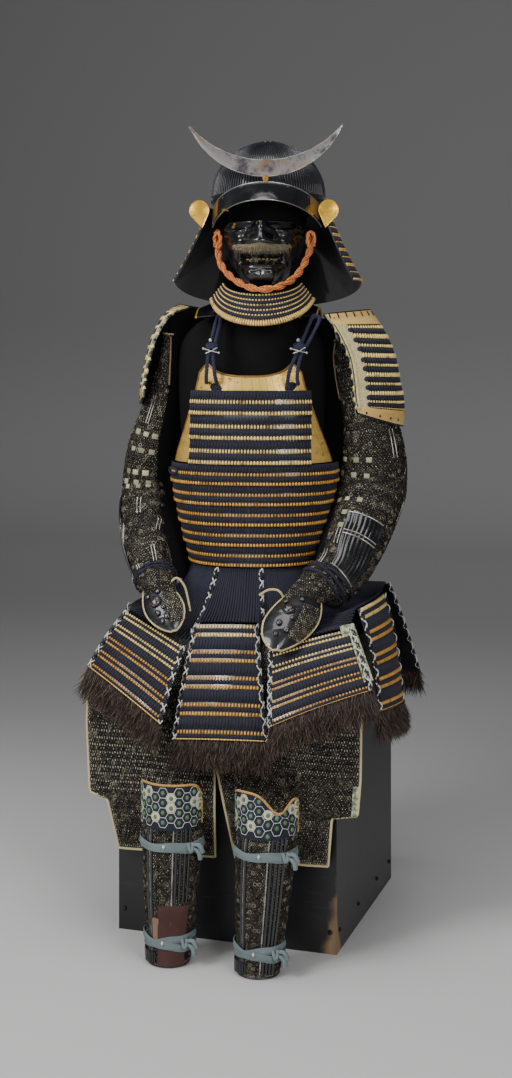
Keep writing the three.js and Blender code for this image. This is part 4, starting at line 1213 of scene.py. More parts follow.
def mask_point(u, v, out=0.0):
    row = row_at(MASK, "z", lerp(MASK[0]["z"], MASK[-1]["z"], v))
    turn = row["spread"] * (2 * u - 1)
    place = oval(turn, MASK_X, MASK_Y, row["z"], row["half_width"], row["half_depth"], 2.1)
    reach = row["nose"] * bell(turn, row["broad"]) - row["mouth"] / (1 + (turn / 31) ** 10)
    reach += row["chin"] * (1 + 0.45 * (turn / 20) ** 2) / (1 + (turn / 28) ** 8)
    for form in MASK_FORMS:
        rise = row["z"] - form["z"]
        across = abs(turn) - form["turn"] + form["slant"] * rise
        reach += form["height"] * bell(across, form["wide"]) * bell(rise, form["tall"])
    return place + Vector((0.35 * sin(radians(turn)) * reach, -reach - out, 0))


def build_mask():
    shell = Surface(mask_point, HEAD)
    dress(wall("mask_iron", shell, 76, 64, 2.5, "mask"), "gloss_lacquer", "mask")
    rims = [shell.line((0.02, 0), (0.98, 0), -1, 60), shell.line((0, 0.02), (0, 0.98), -1, 40),
            shell.line((1, 0.02), (1, 0.98), -1, 40)]
    edging("mask_rim", rims, 1.6, "lacquer", "gloss_lacquer")
    low, high = ((MASK[0]["z"] - z) / (MASK[0]["z"] - MASK[-1]["z"]) for z in (1277, 1270.5))
    lip = [shell.line((0.5 - 0.19, high), (0.5 + 0.19, high), -1, 24)]
    edging("mask_lip", lip, 1.5, "mask", "gloss_lacquer")
    teeth = Cells()
    for u in shell.even(low, 6, 0.34, 0.66)[0]:
        place = shell.off(u, low, 12) + (HEAD.to_3x3() @ Vector((0, 0.002, 0)))
        teeth.add(place, shell.axes(0.5, 0.02), (5, 3.4, 3), 0.5)
    teeth.fill("mask_teeth", "tile", "old_gold", "gloss_lacquer")


def moustache_point(u, v):
    side = 2 * u - 1
    turn = 43 * side
    middle = 1300 + 3 * side * side
    row = row_at(MASK, "z", lerp(middle + 8, middle - 8 + 4 * side * side, v), straight=True)
    place = oval(turn, MASK_X, MASK_Y, row["z"], row["half_width"], row["half_depth"], 2.1)
    lip = lerp(6, 13, min(v, 1 - v) * 2)
    return place + Vector((0, -lip - row["nose"] * bell(turn, row["broad"]), 0))


def add_flow(piece, way):
    """Gives every point of a skin the direction in which its hair grows."""
    flow = piece.data.attributes.new("flow", "FLOAT_VECTOR", "POINT")
    flow.data.foreach_set("vector", [part for v in piece.data.vertices for part in way(v.co, v.normal)])


def grow(name, skin, length, density, stray, seed, finish):
    """Hair on a skin: `length` in mm, `density` in blades to the square metre."""
    return HAIR.run(name, skin.data, Blade=UNITS["blade"], Density=density, Length=length * MM,
                    Stray=stray, Seed=seed, Material=FINISH[finish])


def build_moustache():
    shell = Surface(moustache_point, HEAD)
    base = wall("moustache_root", shell, 24, 6, 4, "bristle", out=-1.5)
    dress(base, "bristle", "moustache")
    middle = HEAD @ (Vector((MASK_X, MASK_Y, 1300)) * MM)

    def way(place, normal):
        side = (place - middle).x
        return normal * 0.55 + Vector((copysign(0.25, side) if abs(side) > 0.008 else 0, 0, -0.8))
    add_flow(base, way)
    dress(grow("moustache_hair", base, 11, 90000, 0.2, 3, "bristle"), "bristle")


THROAT = {
    "x": -8, "spread": 76,
    "top": {"half_width": 78, "half_depth": 108, "y": -40, "z": 1213, "side_rise": 24},
    "low": {"half_width": 106, "half_depth": 148, "y": -30, "z": 1151, "side_rise": 52},
}


def throat_point(u, v):
    side = 2 * u - 1
    at = {name: lerp(THROAT["top"][name], THROAT["low"][name], v) for name in THROAT["top"]}
    return oval(THROAT["spread"] * side, THROAT["x"], at["y"], at["z"] + at["side_rise"] * side * side,
                at["half_width"], at["half_depth"])


# The chin cord's route, from the left loop under the chin to the right one.
CHIN_CORD = [
    (-100, -44, 1340), (-95, -66, 1302), (-88, -88, 1274), (-71, -112, 1252), (-50, -134, 1236),
    (-26, -153, 1225), (-3, -161, 1221), (23, -154, 1224), (46, -134, 1235), (64, -112, 1252),
    (77, -90, 1276), (86, -68, 1302), (92, -48, 1332),
]


def build_chin_cord():
    route = through(placed(CHIN_CORD, HEAD), 16)
    cores = strands(route, 2, 3.4 * MM, 0.062)
    # The cores show between the plies in a darker orange: painted shade.
    dress(cords("chin_cord_silk", cores, 2.6, "shaded_orange", 8), "orange_cord", "chin_cord")
    plies = twisted(cores, 5, 2.9 * MM, 0.05)
    edging("chin_cord_plies", plies, 1.1, "orange", "orange_cord", 5)
    loops = []
    for x, y, z, side in ((-97, -58, 1316, -1), (88, -60, 1316, 1)):
        loops.append(through(placed([
            (x, y, z - 14), (x - 6 * side, y - 12, z - 6), (x - 7 * side, y - 16, z + 10),
            (x - 2 * side, y - 10, z + 20), (x + 5 * side, y - 2, z + 12), (x + 4 * side, y + 2, z - 8),
        ], HEAD), 8))
    edging("chin_cord_loops", twisted(loops, 2, 1.9 * MM, 0.026), 2.4, "orange", "orange_cord")


# ---- laced lames ----
PITCH = 6.2            # from one scale head to the next, in mm
# What a lame shows from its head to its foot, as shares of its height: rows of gold heads
# (dots), navy lacing (lace) and bare gold (solid).
BANDS = {
    "do": (("lace", 0.0, 0.36), ("dots", 0.36, 0.55), ("lace", 0.55, 0.82), ("solid", 0.82, 1.0)),
    "tasset": (("dots", 0.0, 0.17), ("lace", 0.17, 0.33), ("solid", 0.33, 0.5), ("lace", 0.5, 1.0)),
    "sode": (("dots", 0.0, 0.17), ("lace", 0.17, 0.45), ("solid", 0.45, 0.72), ("lace", 0.72, 1.0)),
    "neck": (("solid", 0.0, 0.08), ("lace", 0.08, 0.42), ("solid", 0.42, 0.5), ("lace", 0.5, 0.86),
             ("solid", 0.86, 1.0)),
    "throat": (("dots", 0.0, 0.36), ("lace", 0.36, 1.0)),
}
FILL = {"dots": 0.66, "solid": 0.84, "lace": 1.0}    # each piece's share of the pitch


def laced(name, surface, cycles, bands, node, tone, span=(0.0, 1.0), edge=(0.0, 1.0), cols=48,
          thickness=3):
    """A stack of lames: a lacquered backing, rows of gold heads and upright lacing.

    `cycles` is how many lames there are, and `tone(u, v)` how pale the heads are.
    """
    rows = int(max(10, cycles * 3))
    dress(wall(name + "_lames", surface, cols, rows, thickness, "dull_lacquer"), "laced_lames", node)
    heads, laces = Cells(), Cells()
    shade = random.Random(len(name))
    cycle = (span[1] - span[0]) / cycles
    for k in range(ceil(cycles)):
        for kind, low, high in BANDS[bands]:
            top, foot = span[0] + (k + low) * cycle, span[0] + (k + high) * cycle
            if top >= span[1] - 0.005:
                continue
            foot = min(foot, span[1])
            middle = (top + foot) / 2
            places, step = surface.even(middle, PITCH, *edge)
            for u in places:
                height = (surface.at(u, foot) - surface.at(u, top)).length / MM
                size = (step * FILL[kind], height, 1.5 if kind == "lace" else 2.4)
                row_tone = tone(u, middle) + shade.uniform(-0.12, 0.12)
                cells = laces if kind == "lace" else heads
                cells.sew(surface, u, middle, 0, size, row_tone)
    heads.fill(name + "_heads", "head", "heads", "laced_lames")
    laces.fill(name + "_silk", "lace", "navy", "laced_lames")


def mail(name, surface, pitch, slot, low=0.0, high=1.0, edge=(0.0, 1.0), open_at=None):
    """Rows of mail links sewn on a sheet; `open_at(u, v)` says where there are none."""
    links = Cells()
    shade = random.Random(name)
    rows = max(2, round(surface.height / MM * (high - low) / (pitch * 0.9)))
    for j in range(rows):
        v = lerp(low, high, (j + 0.5) / rows)
        places, step = surface.even(v, pitch, *edge)
        for u in places:
            u += (j % 2 - 0.5) * 0.5 * step / (surface.width / MM)
            if open_at and open_at(u, v):
                continue
            right, up, out = surface.axes(u, v)
            lean = right * shade.uniform(-0.35, 0.35) + up * shade.uniform(-0.2, 0.3)
            out = (out + lean).normalized()
            right = up.cross(out).normalized()
            size = (step * 1.12, step * 1.12, step)
            links.add(surface.off(u, v, 0.2), (right, out.cross(right), out), size, shade.random())
    links.fill(name + "_links", "link", "links", slot)


def build_head_lames():
    laced("neck_guard", Surface(neck_point, HEAD), 5, "neck", "helmet_neck_guard",
          lambda u, v: 0.35, cols=64)
    throat = Surface(throat_point, HEAD)
    laced("throat", throat, 5, "throat", "throat_guard", lambda u, v: 0.75, span=(0.02, 0.8))
    ribs = Cells()
    count = round(throat.width / MM / 5.2)
    for i in range(count):
        u = (i + 0.5) / count
        height = (throat.at(u, 1) - throat.at(u, 0.8)).length / MM
        ribs.sew(throat, u, 0.9, 0, (4.6, height, 3.2), 0.5)
    ribs.fill("throat_ribs", "head", "heads", "laced_lames")


# ---- cuirass ----
CUIRASS = table(
    "z half_width half_depth",
    (1080, 150, 125), (1025, 148, 128), (960, 152, 131), (884, 165, 136), (840, 163, 139),
    (760, 146, 140), (689, 127, 137),
)
WAIST_Z, CHEST_Z = 689, 884
SAWTOOTH = 3           # how far a lame's foot stands out over the next one's head, in mm
UPPER_HALF_WIDTH = 118
SQUARE = 2.4           # 2 would be a plain oval


def cuirass_point(turn, z, out=0.0):
    row = row_at(CUIRASS, "z", z)
    return oval(turn, 2, 0, z, row["half_width"] + out, row["half_depth"] + out, SQUARE)


def stack(middle, spread, top, foot, lames):
    """A stack of lames round the cuirass, whose feet stand out over the next one's head."""
    def point(u, v):
        step = SAWTOOTH * ((v * lames) % 1 if v < 1 else 1)
        z = lerp(top, foot, v)
        return cuirass_point(middle + lerp(-spread(z), spread(z), u), z, step)
    return Surface(point, TORSO)


def upper_spread(z):
    share = UPPER_HALF_WIDTH / row_at(CUIRASS, "z", z)["half_width"]
    return degrees(asin(share ** (SQUARE / 2)))


CHEST_PLATE = {"low": 886, "inset": 5, "horn_z": 1078, "scoop_z": 1054, "horn_at": 0.8,
               "corner_at": 0.85, "corner_drop": 16}
CHEST_SPREAD = table("z turn", (1080, 37), (1031, 45), (960, 60), (884, 75))


def chest_plate_point(u, v):
    plate = CHEST_PLATE
    side = abs(2 * u - 1)
    top = lerp(plate["scoop_z"], plate["horn_z"], min(1, side / plate["horn_at"]) ** 2.5)
    past = max(0, side - plate["corner_at"]) / (1 - plate["corner_at"])
    z = lerp(top - plate["corner_drop"] * past, plate["low"], v)
    return cuirass_point(row_at(CHEST_SPREAD, "z", z)["turn"] * (2 * u - 1), z, -plate["inset"])


def back_plate_point(u, v):
    z = lerp(1078 - 26 * abs(2 * u - 1) ** 3, CHEST_Z + 0.6, v)
    return cuirass_point(180 + lerp(-66, 66, u), z)


def build_cuirass():
    lower = {"top": CHEST_Z, "foot": WAIST_Z, "lames": 5}
    for name, middle in (("front", 0), ("back", 180)):
        laced(f"do_{name}_low", stack(middle, lambda z: 89, **lower), 5, "do",
              f"do_{name}_lower", lambda u, v: 0.15, cols=72)
    laced("do_front_up", stack(0, upper_spread, 1027, CHEST_Z + 0.6, 3), 3, "do",
          "do_front_upper", lambda u, v: 0.7, thickness=2)
    laced("do_back_up", Surface(back_plate_point, TORSO), 5, "do", "do_back_upper",
          lambda u, v: 0.4)
    chest = Surface(chest_plate_point, TORSO)
    dress(wall("chest_gold", chest, 60, 24, 2.5, "pale_gold"), "gold_lacquer", "do_chest_plate")
    rim = [chest.line((0, 0), (1, 0), -0.8, 60), chest.line((0, 0), (0, 1), -0.8, 20),
           chest.line((1, 0), (1, 1), -0.8, 20)]
    edging("chest_rim", rim, 2.4, "old_gold", "gold_lacquer")
    seams = [chest.line((u, 0.02), (u + 0.01, 0.2), 0, 6) for u in np.linspace(0.3, 0.72, 9)]
    seams += [chest.line((u, 0.35), (u, 0.99), 0, 10) for u in (0.03, 0.07, 0.93, 0.97)]
    edging("chest_seams", seams, 0.35, "old_gold", "gold_lacquer", 4)
    rims, holes = Cells(), Cells()
    for side in SIDES:
        for place in (TOGGLE_CORDS[side][0], TOGGLE_CORDS[side][-1]):
            spot = placed([place], TORSO)[0]
            u, v = chest.nearest(spot)
            rims.sew(chest, u, v, 0, (11, 11, 7))
            holes.sew(chest, u, v, 0, (8, 8, 0.7))
    rims.fill("chest_hole_rims", "link", "leaf", "gold_leaf")
    holes.fill("chest_holes", "stud", "dull_lacquer", "gold_lacquer")
    rosettes = []
    for u, v in ((0.245, 0.17), (0.83, 0.19)):
        right, up, out = chest.axes(u, v)
        middle = chest.off(u, v, 0.6)
        for size in (1, 0.72, 0.44, 0.18):
            rosettes.append([
                middle + (right * 10.5 * size * cos(a) + up * 7 * size * sin(a)
                          + out * 2.4 * (1 - size)) * MM
                for a in np.linspace(0, tau, 17)
            ])
    edging("chest_rosettes", rosettes, 2.0, "navy", "navy_lacing", 6)
    loop = [cuirass_point(turn, 866 + rise, 6.5) for turn, rise in (
        (-72, 5), (-66, 7), (-58, 5), (-54, 2), (-58, -2), (-66, -3), (-72, -1), (-74, 2), (-72, 5),
    )]
    side_loop = strands(through(placed(loop, TORSO), 5), 2, 1.2 * MM, 0.012)
    edging("do_side_loop", side_loop, 1.6, "navy", "navy_lacing", 6)


STRAP = {"half_width": 22, "left": -84, "right": 108}
STRAP_ROUTE = table(
    "y z drop",
    (118, 1084, 0), (96, 1146, 0), (50, 1184, 5), (0, 1196, 9), (-50, 1190, 7), (-88, 1170, 2),
)
# Each cord goes up from the chest plate to the strap and back down to the plate.
TOGGLE_CORDS = {
    "left": [
        (-81, -120, 1041), (-80, -132, 1051), (-78, -136, 1070), (-75, -134, 1100),
        (-70, -122, 1130), (-64, -98, 1164), (-60, -90, 1172), (-56, -98, 1164),
        (-61, -122, 1130), (-66, -134, 1100), (-64, -137, 1070), (-62, -134, 1052), (-61, -121, 1042),
    ],
    "right": [
        (77, -121, 1039), (78, -133, 1049), (82, -137, 1066), (94, -134, 1096),
        (108, -120, 1130), (122, -100, 1166), (129, -97, 1172), (136, -98, 1163),
        (121, -118, 1128), (104, -133, 1096), (97, -136, 1066), (96, -132, 1049), (97, -118, 1039),
    ],
}


def build_straps():
    for side, outer in (("left", -1), ("right", 1)):
        def point(u, v):
            row = row_at(STRAP_ROUTE, "at", v)
            across = 1 - 2 * u
            return Vector((STRAP[side] + across * STRAP["half_width"], row["y"],
                           row["z"] - row["drop"] * across * outer))
        shell = Surface(point, TORSO)
        strap = wall(f"strap_{side}", shell, 8, 30, 2.5, "lacquer")
        dress(strap, "gloss_lacquer", f"shoulder_strap_{side}")
        edges = [shell.line((u, 0), (u, 1), -1, 30) for u in (0, 1)]
        edging(f"strap_edge_{side}", edges, 2.2, "leaf", "gold_leaf")
        route = through(placed(TOGGLE_CORDS[side], TORSO), 8)
        silk = cords(f"toggle_silk_{side}", strands(route, 3, 1.9 * MM, 0.018), 2.2, "cord_navy")
        dress(silk, "navy_lacing", f"toggle_cord_{side}")
        x = {"left": -69, "right": 100}[side]
        held = TORSO @ Matrix.Translation(Vector((x, -135, 1104)) * MM)
        knot = through(placed([
            (9 * cos(a), 6 * sin(a), 4 * sin(3 * a) + 0.6 * a)
            for a in np.linspace(0, 6 * pi, 37)
        ], held), 3)
        edging(f"toggle_knot_{side}", [knot], 2.4, "cord_navy", "navy_lacing", 6)
        bars = [placed([(-15, -8, 4), (-5, -9.5, 1), (6, -9.5, -2), (15, -8, -4)], held),
                placed([(-11, -7, -5), (0, -10, -1), (12, -7, 6)], held)]
        edging(f"toggle_bars_{side}", bars, 1.1, "bright", "aged_silver")
        beads = Cells()
        for dx, dz, size in ((-1, 20, 9), (15, -4, 6), (-15, 4, 6)):
            beads.add(placed([(dx, -6, dz)], held)[0], FACING, (size, size, size * 0.6))
        beads.fill(f"toggle_beads_{side}", "stud", "bright", "aged_silver")


# ---- shoulder guards, sleeves and hands ----
# Rows down a guard: the side-to-side place and height of its edges and middle, and where its
# front and back edges are.
SODE_COLUMNS = "edge bulge edge_z mid_z front back"
SODE = {
    "right": table(
        SODE_COLUMNS,
        (142, 88, 1174, 1184, -56, 92), (168, 94, 1140, 1137, -74, 104),
        (190, 91, 1094, 1090, -84, 110), (199, 91, 1048, 1044, -88, 112),
        (203, 95, 1006, 1000, -90, 114), (211, 85, 982, 954, -90, 114),
    ),
    "left": table(
        SODE_COLUMNS,
        (-128, -30, 1190, 1196, -34, 118), (-162, -26, 1174, 1172, -62, 128),
        (-188, -22, 1130, 1126, -76, 134), (-202, -20, 1080, 1076, -80, 136),
        (-210, -20, 1040, 1034, -80, 136), (-212, -20, 1012, 994, -80, 134),
    ),
}


def sode_surface(side):
    def point(u, v):
        row = row_at(SODE[side], "at", v)
        along = u if side == "right" else 1 - u
        bow = 1 - (2 * along - 1) ** 2
        return Vector((row["edge"] + row["bulge"] * bow, lerp(row["front"], row["back"], along),
                       lerp(row["edge_z"], row["mid_z"], bow)))
    return Surface(point, TORSO)


# Shares of the way across a shoulder guard, seen from outside, and of the way down it.
SODE_ACROSS = {
    "right": {"laced": (0.085, 0.985), "ends": 0.08, "cream": (0.015, 0.085), "outer": 0.0,
              "border": 0.022},
    "left": {"laced": (0.015, 0.915), "ends": 0.92, "cream": (0.915, 0.985), "outer": 1.0,
             "border": 0.978},
}
SODE_TOP, SODE_FOOT, SODE_LAMES, SODE_CAPS = 0.13, 0.86, 4.5, 16


def build_shoulder_guard(side):
    shell, across = sode_surface(side), SODE_ACROSS[side]
    laced(f"sode_{side}", shell, SODE_LAMES, "sode", f"sode_{side}", lambda u, v: 0.9,
          span=(SODE_TOP, SODE_FOOT), edge=across["laced"])
    shade, ends = random.Random(side), Cells()
    lame = (SODE_FOOT - SODE_TOP) / SODE_LAMES
    for k in range(ceil(SODE_LAMES)):
        for low, high in ((0.17, 0.45), (0.72, 1.0)):
            v = SODE_TOP + (k + (low + high) / 2) * lame
            if v <= SODE_FOOT:
                tall = (high - low) * lame * shell.height / MM
                ends.sew(shell, across["ends"], v, 1.2, (12, tall, 2.6), shade.random())
    ends.fill(f"sode_ends_{side}", "stud", "navy", "navy_lacing")
    cream = part_of(shell, *across["cream"], 0.12, 0.88)
    dress(wall(f"sode_cream_{side}", cream, 3, 30, 1.5, "piping", out=1.8), "laced_lames")

    caps, gaps, outer = Cells(), Cells(), across["outer"]
    for k in range(SODE_CAPS):
        v = 0.1 + 0.8 * (k + 0.5) / SODE_CAPS
        right, up, out = shell.axes(outer, v)
        turned = (-out, up, -right) if side == "right" else (out, up, right)
        tall = 0.84 / SODE_CAPS * shell.height / MM
        cells, thick = (caps, 2.8) if k % 2 else (gaps, 1.8)
        cells.add(shell.off(outer, v, -1), turned, (7, tall, thick), 0.9)
    gaps.fill(f"sode_gaps_{side}", "head", "navy", "navy_lacing")
    caps.fill(f"sode_caps_{side}", "head", "heads", "laced_lames")
    for name, low, high in (("top", 0.0, 0.12), ("foot", 0.87, 1.0)):
        end = Surface(lambda u, v: shell.at(lerp(0.01, 0.99, u), lerp(low, high, v)) / MM)
        dress(wall(f"sode_{name}_{side}", end, 36, 5, 2.5, "end_gold", out=2.2), "gold_lacquer")
    edges = [shell.line((u, 0), (u, 1), 0.5, 24) for u in (0.006, 0.994)]
    edging(f"sode_piping_{side}", edges, 1.5, "green_piping", "laced_lames")
    rims = [shell.line((0, v), (1, v), 0.8, 30) for v in (0.0, 1.0)]
    edging(f"sode_rims_{side}", rims, 2.0, "lacquer", "gloss_lacquer")
    border = [shell.line((across["border"], 0.12), (across["border"], 0.88), 1.2, 30)]
    edging(f"sode_border_{side}", border, 2.6, "piping", "laced_lames")
    dress(wall(f"sode_lining_{side}", shell, 30, 16, 1.2, "black_cloth", out=-3.2), "laced_lames")
    marks, holes = Cells(), Cells()
    for u in shell.even(0.03, 17)[0]:
        marks.sew(shell, u, 0.03, 2, (3.4, 11, 1.6))
    for u in (0.05, 0.14, 0.23, 0.32, 0.68, 0.77, 0.86, 0.95):
        holes.sew(shell, u, 0.955, 2.3, (5.5, 5.5, 1.0))
    marks.fill(f"sode_marks_{side}", "lace", "navy", "navy_lacing")
    holes.fill(f"sode_holes_{side}", "stud", "dull_lacquer", "gold_lacquer")


# Rows down a sleeve: its middle and its half widths.
SLEEVE_COLUMNS = "x y z across deep"
SLEEVE = {
    "left": table(
        SLEEVE_COLUMNS,
        (-171, 4, 1138, 15, 42), (-176, 4, 1080, 20, 46), (-188, 4, 1005, 30, 50),
        (-214, 6, 910, 40, 52), (-221, 10, 840, 45, 53), (-220, 4, 810, 47, 52),
        (-218, -12, 780, 48, 50), (-212, -34, 750, 47, 48), (-205, -62, 722, 46, 45),
        (-184, -118, 676, 39, 37), (-176, -140, 660, 36, 33),
    ),
    "right": table(
        SLEEVE_COLUMNS,
        (188, 4, 1132, 31, 44), (206, 4, 1060, 42, 50), (227, 4, 979, 51, 54),
        (237, 6, 900, 62, 57), (237, 8, 840, 65, 58), (233, -8, 813, 64, 56),
        (225, -30, 788, 62, 54), (215, -53, 760, 60, 51), (204, -78, 732, 57, 47),
        (182, -120, 688, 51, 39), (148, -162, 655, 43, 30),
    ),
}
ELBOW = 0.4            # the share of the rows where the upper arm's tube meets the forearm's


def sleeve_surface(side, start, end, spread=(0, 360), out=0.0):
    rows = SLEEVE[side]

    def centre(at):
        row = row_at(rows, "at", min(max(at, 0), 1))
        return row, Vector((row["x"], row["y"], row["z"]))

    def point(u, v):
        at = lerp(start, end, v)
        row, middle = centre(at)
        along = (centre(at + 0.02)[1] - centre(at - 0.02)[1]).normalized()
        front = (FRONT + along * along.y).normalized()
        right = front.cross(along).normalized()
        turn = radians(lerp(*spread, u))
        return (middle + right * (row["across"] + out) * sin(turn)
                + front * (row["deep"] + out) * cos(turn))
    return Surface(point, TORSO, closed=spread == (0, 360))


# Where the ribbed plate begins and ends: its shares of the way down and its turns in degrees.
FOREARM_PLATE = {"left": (0.52, 0.94, -120, -62), "right": (0.72, 0.96, -30, 40)}
WRIST_TWIST = (2, 1.9 * MM, 0.016)     # strands, how far apart they lie and their pitch in metres
# Cloth squares and iron bars on the sleeves: their share of the way down and their turns.
SLEEVE_SQUARES = {
    "left": ((0.27, (-34, -6, 20)), (0.305, (-34, -8, 20)), (0.36, (-40, -18, 8)),
             (0.4, (-46, -14, 16)), (0.435, (-38, -8, 16))),
    "right": ((0.31, (-58, -30, -6)), (0.36, (-66, -34, -10)), (0.635, (-64, -43, -18)),
              (0.72, (-40, -17)), (0.8, (-41, -19))),
}
SLEEVE_BARS = {
    "left": ((-14, 0.19, 0.25), (-3, 0.58, 0.69), (45, 0.73, 0.81), (26, 0.86, 0.93), (-60, 0.7, 0.8),
             (-28, 0.9, 0.97), (100, 0.5, 0.7)),
    "right": ((-40, 0.8, 0.87), (-62, 0.9, 0.97), (44, 0.24, 0.31), (80, 0.5, 0.62), (-20, 0.14, 0.2)),
}


def build_sleeve(side):
    """Two mailed tubes that meet at the elbow, the black sheet to the form and the ironwork."""
    for part, start, end in (("upper", 0, ELBOW), ("lower", ELBOW, 1)):
        shell = sleeve_surface(side, start, end)

        def folds(u, v):
            at = lerp(start, end, v)
            bend = bell(at - 0.55, 0.16)
            return 1.6 * bend * sin(60 * at + 2.2 * sin(tau * u + 0.6)) - 0.3
        tube = wall(f"sleeve_{part}_cloth_{side}", shell, 48, 40, 2.5, "mail", swell=folds)
        dress(tube, "mail_cloth", f"sleeve_{part}_{side}")

        def covered(u, v):
            at, turn = lerp(start, end, v), 360 * u
            reach = lerp(28, 60, (at - 0.15) / 0.65)
            hidden = 75 < (turn if side == "left" else 360 - turn) < 200
            return hidden or (side == "left" and at < 0.82 and reach < turn < 200)
        mail(f"sleeve_{part}_{side}", shell, 8.4, "mail_cloth", open_at=covered)
    whole = sleeve_surface(side, 0, 1)
    build_arm_gap_sheet(side, whole)
    build_sleeve_iron(side, whole)


def build_arm_gap_sheet(side, whole):
    """A black sheet from the sleeve to the form that closes the gap between arm and body; u runs from
    the sleeve to the form.
    """
    def lining_point(u, v):
        """Leaves the sleeve at `first`, hangs out at `middle` and ends on the form at `body`."""
        at = lerp(0.015, 0.99, v)
        sign = 1 if side == "left" else -1
        turn = sign * (lerp(28, 58, v) if side == "left" else 74)
        first = whole.off(turn / 360 % 1, at, 1.0) / MM
        middle = whole.off(sign * 84 / 360 % 1, at, 7) / MM
        last = whole.at(sign * 112 / 360 % 1, at) / MM
        inward = lerp(142, 102, v) - 50 * max(0, 1 - v / 0.2)
        body = TORSO @ Vector((-sign * inward * MM, 0.024, last.z * MM + 0.02 * (1 - v)))
        body = body / MM
        for place, lift, drop in ((first, 52, 0), (middle, 56, 22), (body, 34, 34)):
            place.z += lift * max(0, 1 - v / 0.16) - drop * v ** 6
        bow = 4 * sin(9 * v + 3 * u) * u * (1 - u)
        place = first * (1 - u) ** 2 + middle * 2 * u * (1 - u) + body * u * u
        return place + Vector((0, -bow, 0))
    flap = Surface(lining_point)
    if side == "right":
        flap = Surface(lambda u, v: lining_point(1 - u, v))
    lining = wall(f"sleeve_lining_{side}", flap, 16, 32, 2, "black_cloth")
    dress(lining, "mail_cloth")


def build_sleeve_iron(side, whole):
    """The ribbed forearm plate, cloth squares, iron bars, wrist cords and edges of a sleeve."""
    start, end, low, high = FOREARM_PLATE[side]
    patch = sleeve_surface(side, start, end, (low, high), 5)
    ribs = wall(f"forearm_ribs_{side}", patch, 48, 16, 2, "mask",
                swell=lambda u, v: 1.6 * abs(cos(8 * pi * u)) * bell(v - 0.35, 0.5))
    dress(ribs, "dark_iron", f"forearm_plate_{side}")
    squares, shade = Cells(), random.Random(side)
    for at, turns in SLEEVE_SQUARES[side]:
        for turn in turns:
            u = turn / 360 % 1
            size = shade.uniform(10, 13)
            squares.sew(whole, u, at, 1.2, (size, size * 0.85, 2.6), shade.random())
    squares.fill(f"sleeve_squares_{side}", "tile", "square", "mail_cloth")
    bars = [patch.line((0.03, v), (0.97, v), 1.4, 12) for v in (0.42, 0.47, 0.02, 0.98)]
    # Each splint is drawn as two near-white lines along its edges: real bars, whose near-white colour
    # is painted highlight.
    for turn, top, foot in SLEEVE_BARS[side]:
        for step in (-4, 4):
            u = (turn + step) / 360 % 1
            bars.append(whole.line((u, top), (u, foot), 2.4, 8))
    edging(f"sleeve_bars_{side}", bars, 1.5, "bright", "dark_iron", 6)
    wrist, tilt = (0.985, 0.012) if side == "left" else (1.0, -0.01)
    winds = [[whole.off(k / 24, wrist + step + tilt * sin(k * pi / 12), 3.6)
              for k in range(25)] for step in (-0.035, 0)]
    cord = twisted(winds, *WRIST_TWIST)
    edging(f"wrist_cords_{side}", cord, 2.3, "navy", "navy_lacing", 6)
    edge = whole.line((0.86, 0.01), (0.78, 0.05), 3, 6)
    edge += whole.line((0.78, 0.05), (0.8, 0.15), 3, 8)[1:]
    seam = whole.line((0.06, 0.01), (0.085, 0.16), 3, 14) if side == "left" else edge
    edging(f"sleeve_piping_{side}", [seam], 1.8, "tan", "mail_cloth")
    top = [whole.off(k / 36, 0.002, -1) for k in range(37)]
    edging(f"sleeve_hem_{side}", [top], 2.6, "piping", "mail_cloth")


HAND_GUARD = {
    "left": {"wrist": (-172, -172, 652), "tip": (-128, -228, 580), "right": (0.95, 0.1, 0.29),
             "half": 37},
    "right": {"wrist": (114, -206, 646), "tip": (73, -312, 564), "right": (0.96, 0.26, -0.12),
              "half": 50},
}
HAND_OUTLINE = table(
    "along width",
    (0, 0.66), (0.25, 0.92), (0.5, 1), (0.75, 0.8), (0.92, 0.45), (1, 0.15),
)


def hand_surface(side):
    guard = HAND_GUARD[side]
    wrist, right = Vector(guard["wrist"]), Vector(guard["right"]).normalized()
    reach = Vector(guard["tip"]) - wrist
    up = reach.cross(right).normalized()

    def point(u, v):
        row = row_at(HAND_OUTLINE, "along", v)
        across = 2 * u - 1
        arch = 0.38 * guard["half"] * row["width"] * (1 - across * across)
        return (wrist + reach * v + right * across * row["width"] * guard["half"] + up * arch)
    return Surface(point, TORSO)


# Where a finger loop starts on the plate, and the steps of its cord from there.
HAND_LOOPS = {
    "left": ((1, 0.08), ((3, -4, 12), (14, -8, 18), (27, -8, 4), (34, -8, -20), (38, -6, -44))),
    "right": ((0, 0.06), ((-3, -4, 8), (-12, -6, 15), (-28, -4, 14), (-44, -2, 4))),
}


